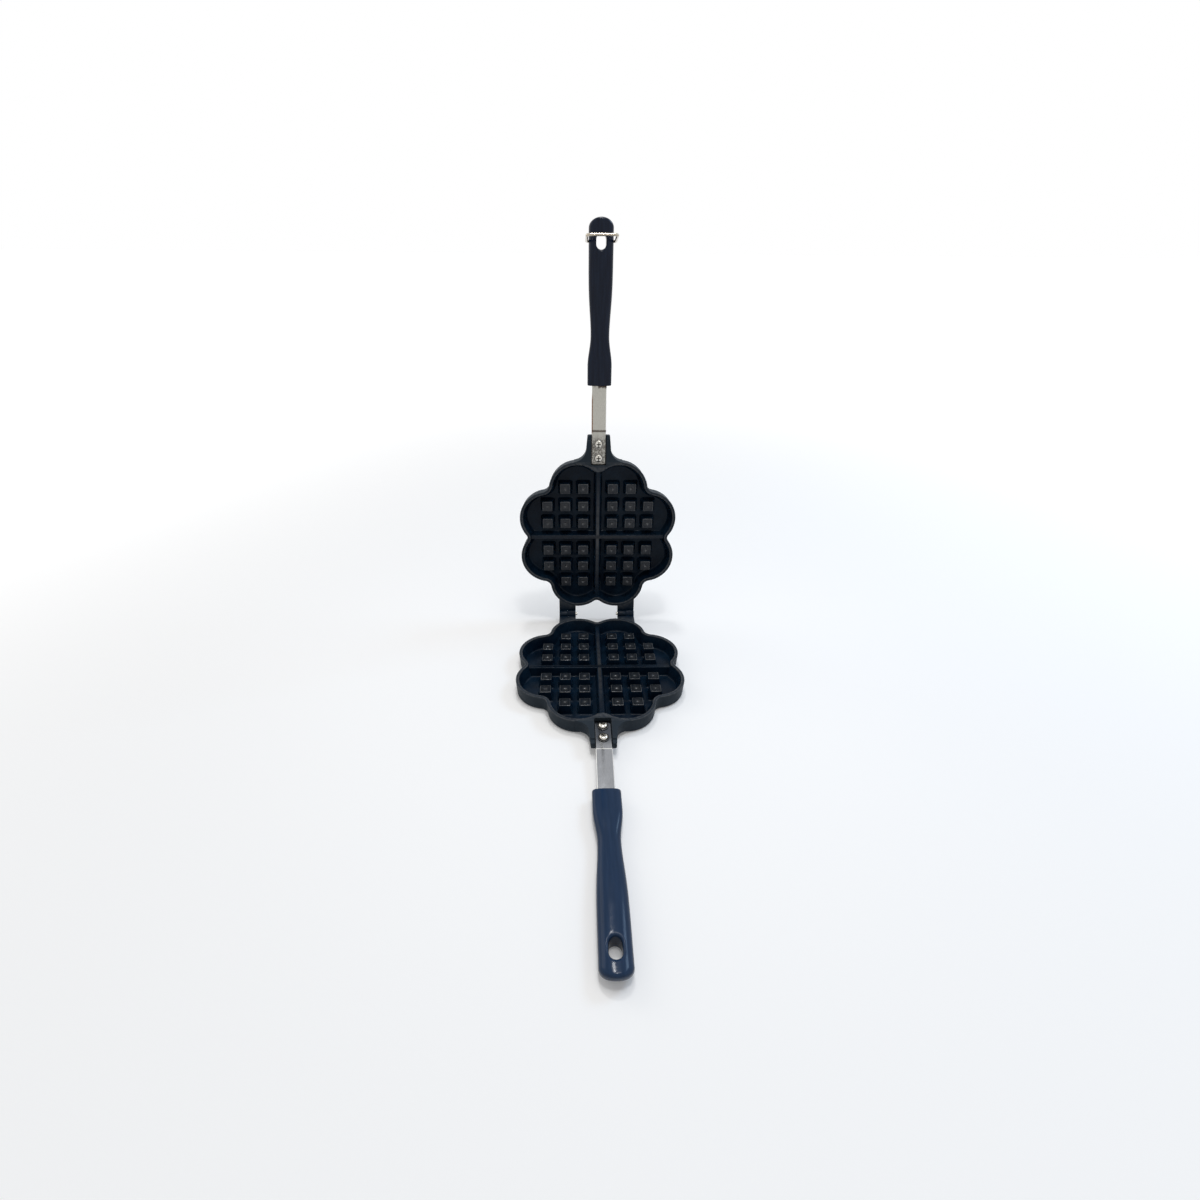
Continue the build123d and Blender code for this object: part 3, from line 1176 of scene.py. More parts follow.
@dataclass(frozen=True)
class Grip:
    """Moulded grip: collar, waist, swell and rounded tip, with a hanging slot."""

    latch_holes: bool
    start: float = Strip.grip_start
    length: float = 139.3
    mid_depth: float = 8.6
    collar_width: float = 23.4
    collar_height: float = 13.0
    collar_length: float = 17.0
    waist_width: float = 17.7
    waist_height: float = 11.4
    waist_place: float = 44.5
    swell_width: float = 22.2
    swell_height: float = 14.5
    swell_place: float = 112.0
    collar_squareness: float = 4.0
    swell_squareness: float = 2.5
    mouth_edge: float = 0.7
    tip_plan_length: float = 7.9
    tip_back_radius: float = 12.0
    tip_face_radius: float = 2.4
    hang_place: float = 122.0
    hang_width: float = 8.8
    hang_length: float = 13.8
    hang_edge: float = 2.0
    pivot_place: float = 121.2
    pivot_radius: float = 1.28
    pivot_depth: float = 3.6

    def section(self, place: float) -> Flat:
        """Size of the section, before the tip is rounded.

        Args:
            place: Distance from the grip's start.

        Returns:
            Width and height there.
        """
        if place <= self.collar_length:
            return self.collar_width, self.collar_height
        if place <= self.waist_place:
            share = (place - self.collar_length) / (self.waist_place - self.collar_length)
            width = ease(self.collar_width, self.waist_width, share)
            return width, ease(self.collar_height, self.waist_height, share)
        if place <= self.swell_place:
            share = sin(pi / 2 * (place - self.waist_place) / (self.swell_place - self.waist_place))
            width = ease(self.waist_width, self.swell_width, share)
            return width, ease(self.waist_height, self.swell_height, share)
        return self.swell_width, self.swell_height

    def squareness(self, place: float) -> float:
        """How square the section is at a place: less from the collar to the waist."""
        share = (place - self.collar_length) / (self.waist_place - self.collar_length)
        return ease(self.collar_squareness, self.swell_squareness, min(max(share, 0.0), 1.0))

    def ring(self, place: float) -> list[Spot]:
        """Section across the grip.

        Args:
            place: Distance from the grip's start.

        Returns:
            The points of the ring.
        """
        width, height = self.section(place)
        left = self.length - place
        half = width / 2 - quarter_drop(left, self.tip_plan_length, width / 2)
        face = self.mid_depth - height / 2 + quarter_drop(left, self.tip_face_radius, self.tip_face_radius)
        back = self.mid_depth + height / 2 - quarter_drop(left, self.tip_back_radius, self.tip_back_radius)
        drawn = quarter_drop(place, self.mouth_edge, self.mouth_edge)
        half, face, back = half - drawn, face + drawn, back - drawn
        middle, half_height = (face + back) / 2, (back - face) / 2
        loop = crowned(half, half_height, self.squareness(place))
        return [(u, -self.start - place, middle + v) for u, v in loop]

    def shell(self) -> Shell:
        """Outer form of the grip.

        Returns:
            The shell, in the half's own millimetres.
        """
        places = [self.mouth_edge * share for share in (0.0, 0.1, 0.3, 0.6, 1.0)]
        places += [4.0, 10.0, 15.0]
        places += [self.collar_length + 1.5 * step for step in range(19)]
        places += [self.waist_place + 2.5 * step for step in range(1, 36)]
        ends = (8.0, 6.5, 5.0, 3.8, 2.8, 2.2, 1.7, 1.3, 0.95, 0.65, 0.4, 0.22, 0.1, 0.03)
        places = [place for place in places if place < self.length - 9.0]
        places += [self.length - left for left in ends]
        return Shell().stack([self.ring(place) for place in places])

    def swell_at(self, across: float, place: float) -> float:
        """Half the grip's height in the swell.

        Args:
            across: Distance from the middle line.
            place: Distance from the grip's start.

        Returns:
            Half the height there.
        """
        width, height = self.section(place)
        share = min(abs(across) / (width / 2), 1.0)
        power = self.squareness(place)
        return height / 2 * (1 - share**power) ** (1 / power)

    def hanging_slot(self) -> Shell:
        """Oblong slot right through the swell, with rims that roll in from the crowned faces.

        Returns:
            The shell, in the half's own millimetres.
        """
        edge = self.hang_edge
        rims = [edge * (1 - cos(radians(angle))) for angle in (0, 12, 25, 40, 55, 72, 90)]
        levels = [(edge, -OVERSHOOT)] + [(quarter_drop(along, edge, edge), along) for along in rims]
        rings = []
        for side, steps in ((-1, levels), (1, levels[::-1])):
            for grow, along in steps:
                half_width, half_length = self.hang_width / 2 + grow, self.hang_length / 2 + grow
                loop = oblong(half_width, half_length, half_width - 0.001, 12)
                spots = [(u, self.hang_place - v) for u, v in loop]
                depths = [self.mid_depth + side * (self.swell_at(u, place) - along) for u, place in spots]
                rings.append([(u, -self.start - place, depth) for (u, place), depth in zip(spots, depths)])
        return Shell().stack(rings)

    def pivot_hole(self, side: int) -> Shell:
        """Blind side hole for one end of the latch loop.

        Args:
            side: 1 or -1, for the side of the grip that it is on.

        Returns:
            The shell, in the half's own millimetres.
        """
        outer = self.swell_width / 2 + OVERSHOOT
        start = Vector((side * outer, -self.start - self.pivot_place, self.mid_depth))
        profile = [(self.pivot_radius, 0.0), (self.pivot_radius, OVERSHOOT + self.pivot_depth)]
        return turned(profile, start, Vector((-side, 0, 0)), sides=28)

    def build(self, tang: Shell) -> bpy.types.Mesh:
        """Moulds the grip round the strip's tang.

        Args:
            tang: Shell of the strip.

        Returns:
            The finished mesh.
        """
        work = Workpiece("grip", self.shell()).change(Cut.REMOVE, self.hanging_slot())
        work.change(Cut.REMOVE, tang)
        if self.latch_holes:
            for side in (1, -1):
                work.change(Cut.REMOVE, self.pivot_hole(side))
        return work.finished(smooth_angle=38.0)


@dataclass(frozen=True)
class LatchLoop:
    """Wire loop that swings on the upper grip and drops over the lower one."""

    wire_radius: float = 1.2
    wire_sides: int = 20
    foot: float = 7.58
    half_width: float = 13.0
    pivot_bend: float = 2.2
    crown_bend: float = 3.0
    length: float = 27.6
    corner: float = 2.6
    crown: float = 0.5
    skew: float = 0.7
    end_edge: float = 0.25
    lean: float = 6.0
    body: str = "latch"

    def path(self) -> list[Vector]:
        """Centre line of the wire, in its own plane: across, and away from the pivot.

        Returns:
            The points of the line.
        """
        near, far = self.length - self.skew, self.length + self.skew
        corners = [(self.foot, 0.0), (self.half_width, 0.0), (self.half_width, far)]
        corners.append((0.0, self.length + self.crown))
        corners += [(-self.half_width, near), (-self.half_width, 0.0), (-self.foot, 0.0)]
        radii = [self.pivot_bend, self.corner, self.crown_bend, self.corner, self.pivot_bend]
        return [Vector((point.u, point.v, 0.0)) for point in rounded(corners, radii, steps=9)]

    def build(self) -> bpy.types.Mesh:
        """Bends the loop from round wire.

        Returns:
            The mesh of the loop.
        """
        path = self.path()
        ways = [(after - before).normalized() for before, after in zip(path[:1] + path, path[1:] + path[-1:])]
        first, last = ways[0] * self.end_edge, ways[-1] * self.end_edge
        centres = [path[0], path[0] + first] + path[1:-1] + [path[-1] - last, path[-1]]
        ways = ways[:1] + ways + ways[-1:]
        lift = Vector((0, 0, self.wire_radius))
        angles = [2 * pi * step / self.wire_sides for step in range(self.wire_sides)]
        rings = []
        for number, (centre, way) in enumerate(zip(centres, ways)):
            share = 1 - self.end_edge / self.wire_radius if number in (0, len(centres) - 1) else 1.0
            across = way.cross(lift)
            rings.append([tuple(centre + (across * cos(a) + lift * sin(a)) * share) for a in angles])
        return Workpiece("latch_loop", Shell().stack(rings)).finished(smooth_angle=60.0)

    def place(self, half: HalfPlace) -> Matrix:
        """Transform from the loop's plane to the model's metres.

        Args:
            half: Place of the half that carries the loop.

        Returns:
            The transform.
        """
        pivot = Vector(joint_of("latch_swing")["pos_m"])
        shut = half.matrix().to_3x3().normalized()
        out = Matrix.Rotation(radians(-self.lean), 3, "X") @ -shut.col[2]
        across = Vector((1, 0, 0))
        return standing(pivot, across, out, across.cross(out)) @ Matrix.Scale(MILLIMETRE, 4)


Socket = bpy.types.NodeSocket
Setting = Socket | float | tuple


class Wiring:
    """Node tree of a material or a group, with short calls that add nodes and join them."""

    def __init__(self, tree: bpy.types.NodeTree) -> None:
        """Works on one node tree."""
        self.tree = tree
        self.nodes = tree.nodes

    def add(self, kind: str, inputs: dict | None = None, **settings: object) -> bpy.types.Node:
        """Adds a node.

        Args:
            kind: Type of the node.
            inputs: Values or sockets for its inputs, by name or number.
            settings: Values for the node's own options.

        Returns:
            The node.
        """
        node = self.nodes.new(kind)
        for key, value in settings.items():
            setattr(node, key, value)
        for key, value in (inputs or {}).items():
            self.feed(node.inputs[key], value)
        return node

    def feed(self, socket: Socket, value: Setting) -> None:
        """Joins a socket to another one, or sets its value.

        Args:
            socket: The input.
            value: What it gets: an output or a value.
        """
        if isinstance(value, Socket):
            self.tree.links.new(value, socket)
        else:
            socket.default_value = value

    def math(self, operation: str, *values: Setting, clamp: bool = False) -> Socket:
        """Adds a sum, product or other calculation and returns its result."""
        inputs = dict(enumerate(values))
        return self.add("ShaderNodeMath", inputs, operation=operation, use_clamp=clamp).outputs[0]

    def blend(self, share: Setting, first: Setting, second: Setting) -> Socket:
        """Blends two colours.

        Args:
            share: How much of the second one there is.
            first: The first colour.
            second: The second colour.

        Returns:
            The blended colour.
        """
        node = self.nodes.new("ShaderNodeMix")
        node.data_type = "RGBA"
        for key, value in {"Factor": share, 6: first, 7: second}.items():
            self.feed(node.inputs[key], value)
        return node.outputs[2]

    def times(self, *values: Setting) -> Socket:
        """Multiplies two or more values."""
        return reduce(lambda product, value: self.math("MULTIPLY", product, value), values)

    def spread(
        self, value: Setting, low: float, high: float, to_low: float = 0.0, to_high: float = 1.0
    ) -> Socket:
        """Turns the span from low to high into another span, smoothly and within its ends."""
        inputs = {"Value": value, "From Min": low, "From Max": high, "To Min": to_low, "To Max": to_high}
        return self.add("ShaderNodeMapRange", inputs, interpolation_type="SMOOTHSTEP").outputs[0]

    def noise(self, vector: Setting, scale: Setting = 1.0, *, detail: float, rough: float) -> Socket:
        """Adds a noise texture and returns its value."""
        inputs = {"Vector": vector, "Scale": scale, "Detail": detail, "Roughness": rough}
        return self.add("ShaderNodeTexNoise", inputs).outputs[0]

    def stretched(self, vector: Setting, stretch: Setting) -> Socket:
        """Scales a vector along each axis and returns it."""
        node = self.add("ShaderNodeVectorMath", {0: vector, 1: stretch}, operation="MULTIPLY")
        return node.outputs[0]

    def own_millimetres(self) -> Socket:
        """Place on the piece, in its own millimetres."""
        return self.add("ShaderNodeAttribute", attribute_name="own_mm").outputs["Vector"]

    def traits(self) -> list[Socket]:
        """What the surface's points tell: bared coating with painted glint, how far outside and how marked
        they are.
        """
        note = self.add("ShaderNodeAttribute", attribute_name="trait").outputs["Vector"]
        return list(self.add("ShaderNodeSeparateXYZ", {0: note}).outputs)

    def group(self, tree: bpy.types.NodeTree, **inputs: Setting) -> bpy.types.Node:
        """Places a shared group.

        Args:
            tree: The group.
            inputs: Its inputs by name, with _ for a space.

        Returns:
            The placed group.
        """
        node = self.nodes.new("ShaderNodeGroup")
        node.node_tree = tree
        for key, value in inputs.items():
            self.feed(node.inputs[key.replace("_", " ")], value)
        return node


def shared_group(name: str, inputs: dict[str, float | tuple], outputs: Sequence[str]) -> Wiring | None:
    """Starts a shared node group.

    Args:
        name: Name of the group.
        inputs: Default value of each input; three numbers make a vector.
        outputs: Names of its values.

    Returns:
        The group's wiring, with its ends in place, or none if the group is already there.
    """
    if name in bpy.data.node_groups:
        return None
    tree = bpy.data.node_groups.new(name, "ShaderNodeTree")
    for label, value in inputs.items():
        kind = "NodeSocketVector" if isinstance(value, tuple) else "NodeSocketFloat"
        tree.interface.new_socket(label, in_out="INPUT", socket_type=kind).default_value = value
    for label in outputs:
        tree.interface.new_socket(label, in_out="OUTPUT", socket_type="NodeSocketFloat")
    return Wiring(tree)


def edge_wear_and_glint() -> bpy.types.NodeTree:
    """Shared group: mask of the edges where the coating has come off, also carrying painted glints in the
    dimples and on top edges.

    Returns:
        The group's node tree.
    """
    wiring = shared_group("EdgeWearAndGlint", {"Place": (0.0, 0.0, 0.0), "Amount": 0.5, "Scale": 0.4}, ["Mask"])
    if wiring:
        ends = wiring.add("NodeGroupInput").outputs
        worn_and_glinting = wiring.traits()[0]
        patches = wiring.noise(ends["Place"], ends["Scale"], detail=4.0, rough=0.6)
        broken = wiring.times(worn_and_glinting, wiring.spread(patches, 0.32, 0.66, to_low=0.4))
        mask = wiring.math("MULTIPLY", broken, ends["Amount"], clamp=True)
        wiring.add("NodeGroupOutput", {"Mask": mask})
    return bpy.data.node_groups["EdgeWearAndGlint"]


def cast_grain() -> bpy.types.NodeTree:
    """Shared group: fine grain of a cast, coated or moulded surface.

    Returns:
        The group's node tree.
    """
    wiring = shared_group("CastGrain", {"Place": (0.0, 0.0, 0.0), "Scale": 1.2}, ["Height"])
    if wiring:
        ends = wiring.add("NodeGroupInput").outputs
        coarse = wiring.noise(ends["Place"], ends["Scale"], detail=3.0, rough=0.6)
        fine = wiring.noise(ends["Place"], wiring.times(ends["Scale"], 5.0), detail=2.0, rough=0.5)
        height = wiring.math("MULTIPLY_ADD", fine, 0.35, coarse)
        wiring.add("NodeGroupOutput", {"Height": height})
    return bpy.data.node_groups["CastGrain"]


def brushed_lines() -> bpy.types.NodeTree:
    """Shared group: fine lines that run one way, as rolling, brushing or drawing leaves them.

    Returns:
        The group's node tree.
    """
    inputs = {"Place": (0.0, 0.0, 0.0), "Stretch": (6.0, 0.15, 6.0)}
    wiring = shared_group("BrushedLines", inputs, ["Height", "Tone"])
    if wiring:
        ends = wiring.add("NodeGroupInput").outputs
        lines = wiring.noise(wiring.stretched(ends["Place"], ends["Stretch"]), detail=4.0, rough=0.65)
        wiring.add("NodeGroupOutput", {"Height": lines, "Tone": wiring.spread(lines, 0.3, 0.7)})
    return bpy.data.node_groups["BrushedLines"]


def uneven_tone() -> bpy.types.NodeTree:
    """Shared group: slow change of tone over a surface, such as handling and washing leave.

    Returns:
        The group's node tree.
    """
    inputs = {"Place": (0.0, 0.0, 0.0), "Scale": 0.05, "Low": 0.3, "High": 0.5}
    wiring = shared_group("UnevenTone", inputs, ["Value"])
    if wiring:
        ends = wiring.add("NodeGroupInput").outputs
        slow = wiring.noise(ends["Place"], ends["Scale"], detail=5.0, rough=0.62)
        steady = wiring.spread(slow, 0.3, 0.72)
        reach = wiring.math("SUBTRACT", ends["High"], ends["Low"])
        wiring.add("NodeGroupOutput", {"Value": wiring.math("MULTIPLY_ADD", steady, reach, ends["Low"])})
    return bpy.data.node_groups["UnevenTone"]


def uneven(wiring: Wiring, place: Setting, scale: float, low: float, high: float) -> Socket:
    """Places the uneven tone in a material and returns its value, from low to high."""
    return wiring.group(uneven_tone(), Place=place, Scale=scale, Low=low, High=high).outputs["Value"]


def opaque(colour: Colour) -> tuple[float, float, float, float]:
    """Colour with full alpha, as a socket takes it."""
    return (*colour, 1.0)


@dataclass(frozen=True)
class Finish:
    """What a surface is made of: the base of all finishes."""

    slot: str
    name: str

    def dress(self, wiring: Wiring, shader: bpy.types.Node, place: Socket) -> None:
        """Sets up the shader of the material; each finish has its own way.

        Args:
            wiring: The material's node tree.
            shader: Its Principled BSDF.
            place: Place on the piece, in its own millimetres.
        """
        raise NotImplementedError

    def bump(self, wiring: Wiring, shader: bpy.types.Node, height: Setting, depth_mm: float) -> None:
        """Raises the surface by a height that goes from 0 to 1, times a depth."""
        inputs = {"Height": height, "Distance": depth_mm * MILLIMETRE, "Strength": 1.0}
        wiring.feed(shader.inputs["Normal"], wiring.add("ShaderNodeBump", inputs).outputs[0])

    def material(self) -> bpy.types.Material:
        """Makes the material, or finds it if another piece has it already.

        Returns:
            The material.
        """
        if self.name in bpy.data.materials:
            return bpy.data.materials[self.name]
        made = bpy.data.materials.new(self.name)
        made.use_nodes = True
        wiring = Wiring(made.node_tree)
        shader = made.node_tree.nodes["Principled BSDF"]
        self.dress(wiring, shader, wiring.own_millimetres())
        return made


@dataclass(frozen=True)
class PlateCoating(Finish):
    """Satin blue-black non-stick coating on cast aluminium, bared on its edges, with painted glints,
    reflection and shade.
    """

    colour: Colour = (0.0008, 0.0045, 0.0115)
    faded: Colour = (0.0036, 0.0125, 0.0260)
    # Painted reflection: a lighter colour on the outer walls that stands for the bright surroundings they
    # reflect.
    outer: Colour = (0.0170, 0.0250, 0.0340)
    # Peg and rib top colour: rubbing, and painted shade in this darker default, which the lower plate keeps
    # against the lamps above it.
    rubbed_and_painted_light: Colour = (0.0030, 0.0050, 0.0080)
    bare_metal_and_glint: Colour = (0.125, 0.127, 0.130)
    roughness: tuple[float, float] = (0.24, 0.36)
    outside_dulling: float = 0.28
    wear_polish: float = -0.1
    grain_depth: float = 0.035
    specular: float = 0.1

    def dress(self, wiring: Wiring, shader: bpy.types.Node, place: Socket) -> None:
        """Sets up the coating's shader.

        Args:
            wiring: The material's node tree.
            shader: Its Principled BSDF.
            place: Place on the piece, in its own millimetres.
        """
        wear_and_glint, outside, marked = wiring.traits()
        tone = uneven(wiring, place, 0.045, 0.0, 1.0)
        mask = wiring.group(edge_wear_and_glint(), Place=place, Amount=0.7, Scale=0.35).outputs["Mask"]
        coat = wiring.blend(tone, opaque(self.colour), opaque(self.faded))
        # Painted reflection: the outer walls take the lighter outer colour.
        coat = wiring.blend(outside, coat, opaque(self.outer))
        patches = wiring.spread(wiring.noise(place, 0.22, detail=4.0, rough=0.6), 0.3, 0.66, to_low=0.62)
        # Top faces: rubbing with painted light and shade, set per plate.
        coat = wiring.blend(wiring.times(marked, patches), coat, opaque(self.rubbed_and_painted_light))
        # Bare, metallic metal where marked: coating bared on the edges, and painted glints in the dimples and
        # along top edges.
        wiring.feed(shader.inputs["Base Color"], wiring.blend(mask, coat, opaque(self.bare_metal_and_glint)))
        wiring.feed(shader.inputs["Metallic"], wiring.times(mask, marked))
        dull = uneven(wiring, place, 0.12, *self.roughness)
        duller = wiring.math("MULTIPLY_ADD", outside, self.outside_dulling, dull)
        wiring.feed(shader.inputs["Roughness"], wiring.math("MULTIPLY_ADD", wear_and_glint, self.wear_polish, duller))
        grain = wiring.group(cast_grain(), Place=place, Scale=0.9).outputs["Height"]
        self.bump(wiring, shader, grain, self.grain_depth)
        shader.inputs["Specular IOR Level"].default_value = self.specular


@dataclass(frozen=True)
class StripSteel(Finish):
    """Flat rolled steel, with stains where water stood; its places are distances from the plate's middle."""

    colour: Colour = (0.44, 0.43, 0.39)
    stained: Colour = (0.055, 0.035, 0.022)
    rust: Colour = (0.20, 0.085, 0.03)
    shade: Colour = (0.050, 0.058, 0.072)
    # Painted highlight: bright colour along the rounded edges and across the bend.
    edge_highlight_colour: Colour = (0.80, 0.80, 0.78)
    edge_highlight_band: Flat = (6.5, 6.9)
    fork_fade: Flat = (112.5, 99.0)
    fork_shade: float = 0.0
    rust_side: float = 0.0
    rust_strength: float = 0.0
    rust_reach: Flat = (6.6, 7.6)
    rust_start: Flat = (110.0, 113.0)
    rust_end: Flat = (152.0, 140.0)
    bend_place: float = 113.4
    bend_highlight: float = 0.0
    band_strength: float = 0.0
    mottle: float = 0.0
    drips: float = 0.0
    drip_fade: Flat = (149.5, 157.0)
    smear_edge: Flat = (157.0, 158.2)
    smear_side: Flat = (0.6, 1.6)
    line_depth: float = 0.01
    roughness: tuple[float, float] = (0.26, 0.38)

    def face(self, wiring: Wiring, tone: Setting, across: Setting, in_fork: Setting) -> Socket:
        """Colour of the clean steel: brushed, with painted shade in the fork and a painted highlight along
        its edges.

        Args:
            wiring: The material's node tree.
            tone: Tone of the brushed lines.
            across: Distance from the strip's middle line.
            in_fork: Whether it lies in the fork.

        Returns:
            The colour.
        """
        darker = tuple(channel * 0.82 for channel in self.colour)
        steel = wiring.blend(tone, opaque(darker), opaque(self.colour))
        # Painted highlight: a bright band along each rounded edge.
        highlight_share = wiring.spread(wiring.math("ABSOLUTE", across), *self.edge_highlight_band)
        flat = wiring.math("SUBTRACT", 1.0, highlight_share)
        steel = wiring.blend(wiring.times(in_fork, flat, self.fork_shade), steel, opaque(self.shade))
        return wiring.blend(wiring.times(highlight_share, 0.7), steel, opaque(self.edge_highlight_colour))

    def rusted(self, wiring: Wiring, across: Setting, along: Setting, speckle: Setting) -> Socket:
        """How rusty the surface is: in a wandering line on one edge, from the bend to near the grip.

        Args:
            wiring: The material's node tree.
            across: Distance from the strip's middle line.
            along: Distance from the plate's middle.
            speckle: Fine noise.

        Returns:
            The mask.
        """
        wander = wiring.math("MULTIPLY_ADD", speckle, 1.6, wiring.times(across, self.rust_side))
        near_edge = wiring.spread(wander, *self.rust_reach)
        past_bend = wiring.spread(along, *self.rust_start)
        before_grip = wiring.spread(along, *self.rust_end)
        line = wiring.times(near_edge, past_bend, before_grip)
        return wiring.math("MULTIPLY", line, self.rust_strength, clamp=True)

    def dripped(
        self, wiring: Wiring, place: Socket, across: Setting, along: Setting, speckle: Setting
    ) -> Socket:
        """Where drips and a smear of muck come out from under the grip.

        Args:
            wiring: The material's node tree.
            place: Place on the strip, in its own millimetres.
            across: Distance from the strip's middle line.
            along: Distance from the plate's middle.
            speckle: Fine noise.

        Returns:
            The mask.
        """
        streaks = wiring.noise(wiring.stretched(place, (1.1, 0.10, 1.0)), detail=2.0, rough=0.5)
        near_grip = wiring.spread(along, *self.drip_fade, to_high=0.33)
        drips = wiring.spread(wiring.math("ADD", streaks, near_grip), 0.86, 0.92)
        under_grip = wiring.spread(wiring.math("MULTIPLY_ADD", speckle, 7.0, along), *self.smear_edge)
        one_side = wiring.spread(wiring.math("MULTIPLY_ADD", speckle, 4.0, across), *self.smear_side)
        return wiring.math("MAXIMUM", drips, wiring.times(under_grip, one_side))

    def dress(self, wiring: Wiring, shader: bpy.types.Node, place: Socket) -> None:
        """Sets up the steel's shader.

        Args:
            wiring: The material's node tree.
            shader: Its Principled BSDF.
            place: Place on the piece, in its own millimetres.
        """
        axes = wiring.add("ShaderNodeSeparateXYZ", {0: place}).outputs
        across, along = axes[0], wiring.math("MULTIPLY", axes[1], -1.0)
        lines = wiring.group(brushed_lines(), Place=place, Stretch=(4.0, 0.12, 4.0))
        speckle = wiring.noise(place, 0.9, detail=5.0, rough=0.7)
        in_fork = wiring.spread(along, *self.fork_fade)
        steel = self.face(wiring, lines.outputs["Tone"], across, in_fork)
        rusted = self.rusted(wiring, across, along, speckle)
        steel = wiring.blend(rusted, steel, opaque(self.rust))

        off_bend = wiring.math("ABSOLUTE", wiring.math("SUBTRACT", along, self.bend_place))
        # Painted highlight: a bright line across the bend.
        line = wiring.times(wiring.spread(off_bend, 0.6, 0.2), self.bend_highlight)
        steel = wiring.blend(line, steel, opaque(self.edge_highlight_colour))
        band = wiring.spread(wiring.math("MULTIPLY_ADD", speckle, 1.6, off_bend), 2.4, 1.0)
        patch = wiring.spread(wiring.noise(place, 0.75, detail=5.0, rough=0.72), 0.44, 0.56)
        mottled = wiring.times(patch, in_fork, self.mottle)
        dripped = wiring.times(self.dripped(wiring, place, across, along, speckle), self.drips)
        stains = wiring.math("MAXIMUM", wiring.times(band, self.band_strength), mottled)
        stains = wiring.math("MAXIMUM", stains, dripped, clamp=True)
        steel = wiring.blend(stains, steel, opaque(self.stained))

        wiring.feed(shader.inputs["Base Color"], steel)
        fouled = wiring.math("MAXIMUM", rusted, stains)
        wiring.feed(shader.inputs["Metallic"], wiring.math("MULTIPLY_ADD", fouled, -0.75, 1.0))
        smooth = uneven(wiring, place, 0.2, *self.roughness)
        wiring.feed(shader.inputs["Roughness"], wiring.math("MULTIPLY_ADD", fouled, 0.25, smooth))
        self.bump(wiring, shader, lines.outputs["Height"], self.line_depth)


@dataclass(frozen=True)
class BrightSteel(Finish):
    """Plated or polished steel of the screws, washers, pins and wire."""

    colour: Colour = (0.62, 0.60, 0.55)
    darker: Colour = (0.36, 0.34, 0.30)
    # Colour of the darker places: the recess's bottom, the head's foot and the washer's ring next to the
    # head.
    crevice_colour: Colour = (0.012, 0.011, 0.010)
    crevice_dark: float = 0.0
    roughness: tuple[float, float] = (0.12, 0.26)
    stretch: tuple[float, float, float] = (2.0, 2.0, 2.0)
    line_depth: float = 0.012

    def dress(self, wiring: Wiring, shader: bpy.types.Node, place: Socket) -> None:
        """Sets up the bright metal's shader.

        Args:
            wiring: The material's node tree.
            shader: Its Principled BSDF.
            place: Place on the piece, in its own millimetres.
        """
        lines = wiring.group(brushed_lines(), Place=place, Stretch=self.stretch)
        tarnish = uneven(wiring, place, 0.35, 0.0, 0.7)
        metal = wiring.blend(tarnish, opaque(self.colour), opaque(self.darker))
        # Darker in the screw's recess, at the head's foot and in the washer's ring beside it.
        crevice_darkening = wiring.math("MULTIPLY", wiring.traits()[2], self.crevice_dark, clamp=True)
        wiring.feed(shader.inputs["Base Color"], wiring.blend(crevice_darkening, metal, opaque(self.crevice_colour)))
        shader.inputs["Metallic"].default_value = 1.0
        smooth = uneven(wiring, place, 0.6, *self.roughness)
        wiring.feed(shader.inputs["Roughness"], wiring.math("MULTIPLY_ADD", crevice_darkening, 0.3, smooth))
        self.bump(wiring, shader, lines.outputs["Height"], self.line_depth)


@dataclass(frozen=True)
class GripPlastic(Finish):
    """Glossy navy plastic, with a faint flow and fine scratches from use."""

    colour: Colour = (0.0060, 0.0230, 0.0600)
    scuffed: Colour = (0.0095, 0.0290, 0.0720)
    roughness: tuple[float, float] = (0.10, 0.18)
    ripple_depth: float = 0.035
    specular: float = 0.17

    def dress(self, wiring: Wiring, shader: bpy.types.Node, place: Socket) -> None:
        """Sets up the plastic's shader.

        Args:
            wiring: The material's node tree.
            shader: Its Principled BSDF.
            place: Place on the piece, in its own millimetres.
        """
        flow = wiring.noise(wiring.stretched(place, (0.5, 0.035, 0.5)), detail=3.0, rough=0.5)
        colour = wiring.blend(wiring.spread(flow, 0.3, 0.7), opaque(self.colour), opaque(self.scuffed))
        wiring.feed(shader.inputs["Base Color"], colour)
        lines = wiring.group(brushed_lines(), Place=place, Stretch=(3.0, 0.09, 3.0))
        dull = uneven(wiring, place, 0.09, *self.roughness)
        scratched = wiring.math("MULTIPLY_ADD", lines.outputs["Tone"], 0.04, dull)
        wiring.feed(shader.inputs["Roughness"], scratched)
        ripple = wiring.group(cast_grain(), Place=place, Scale=0.12).outputs["Height"]
        self.bump(wiring, shader, ripple, self.ripple_depth)
        shader.inputs["Specular IOR Level"].default_value = self.specular


# One casting for both plates; this lower copy keeps the darker tops, painted shade against the lamps above.
LOWER_PLATE = PlateCoating("plate_coating", "satin_coating")
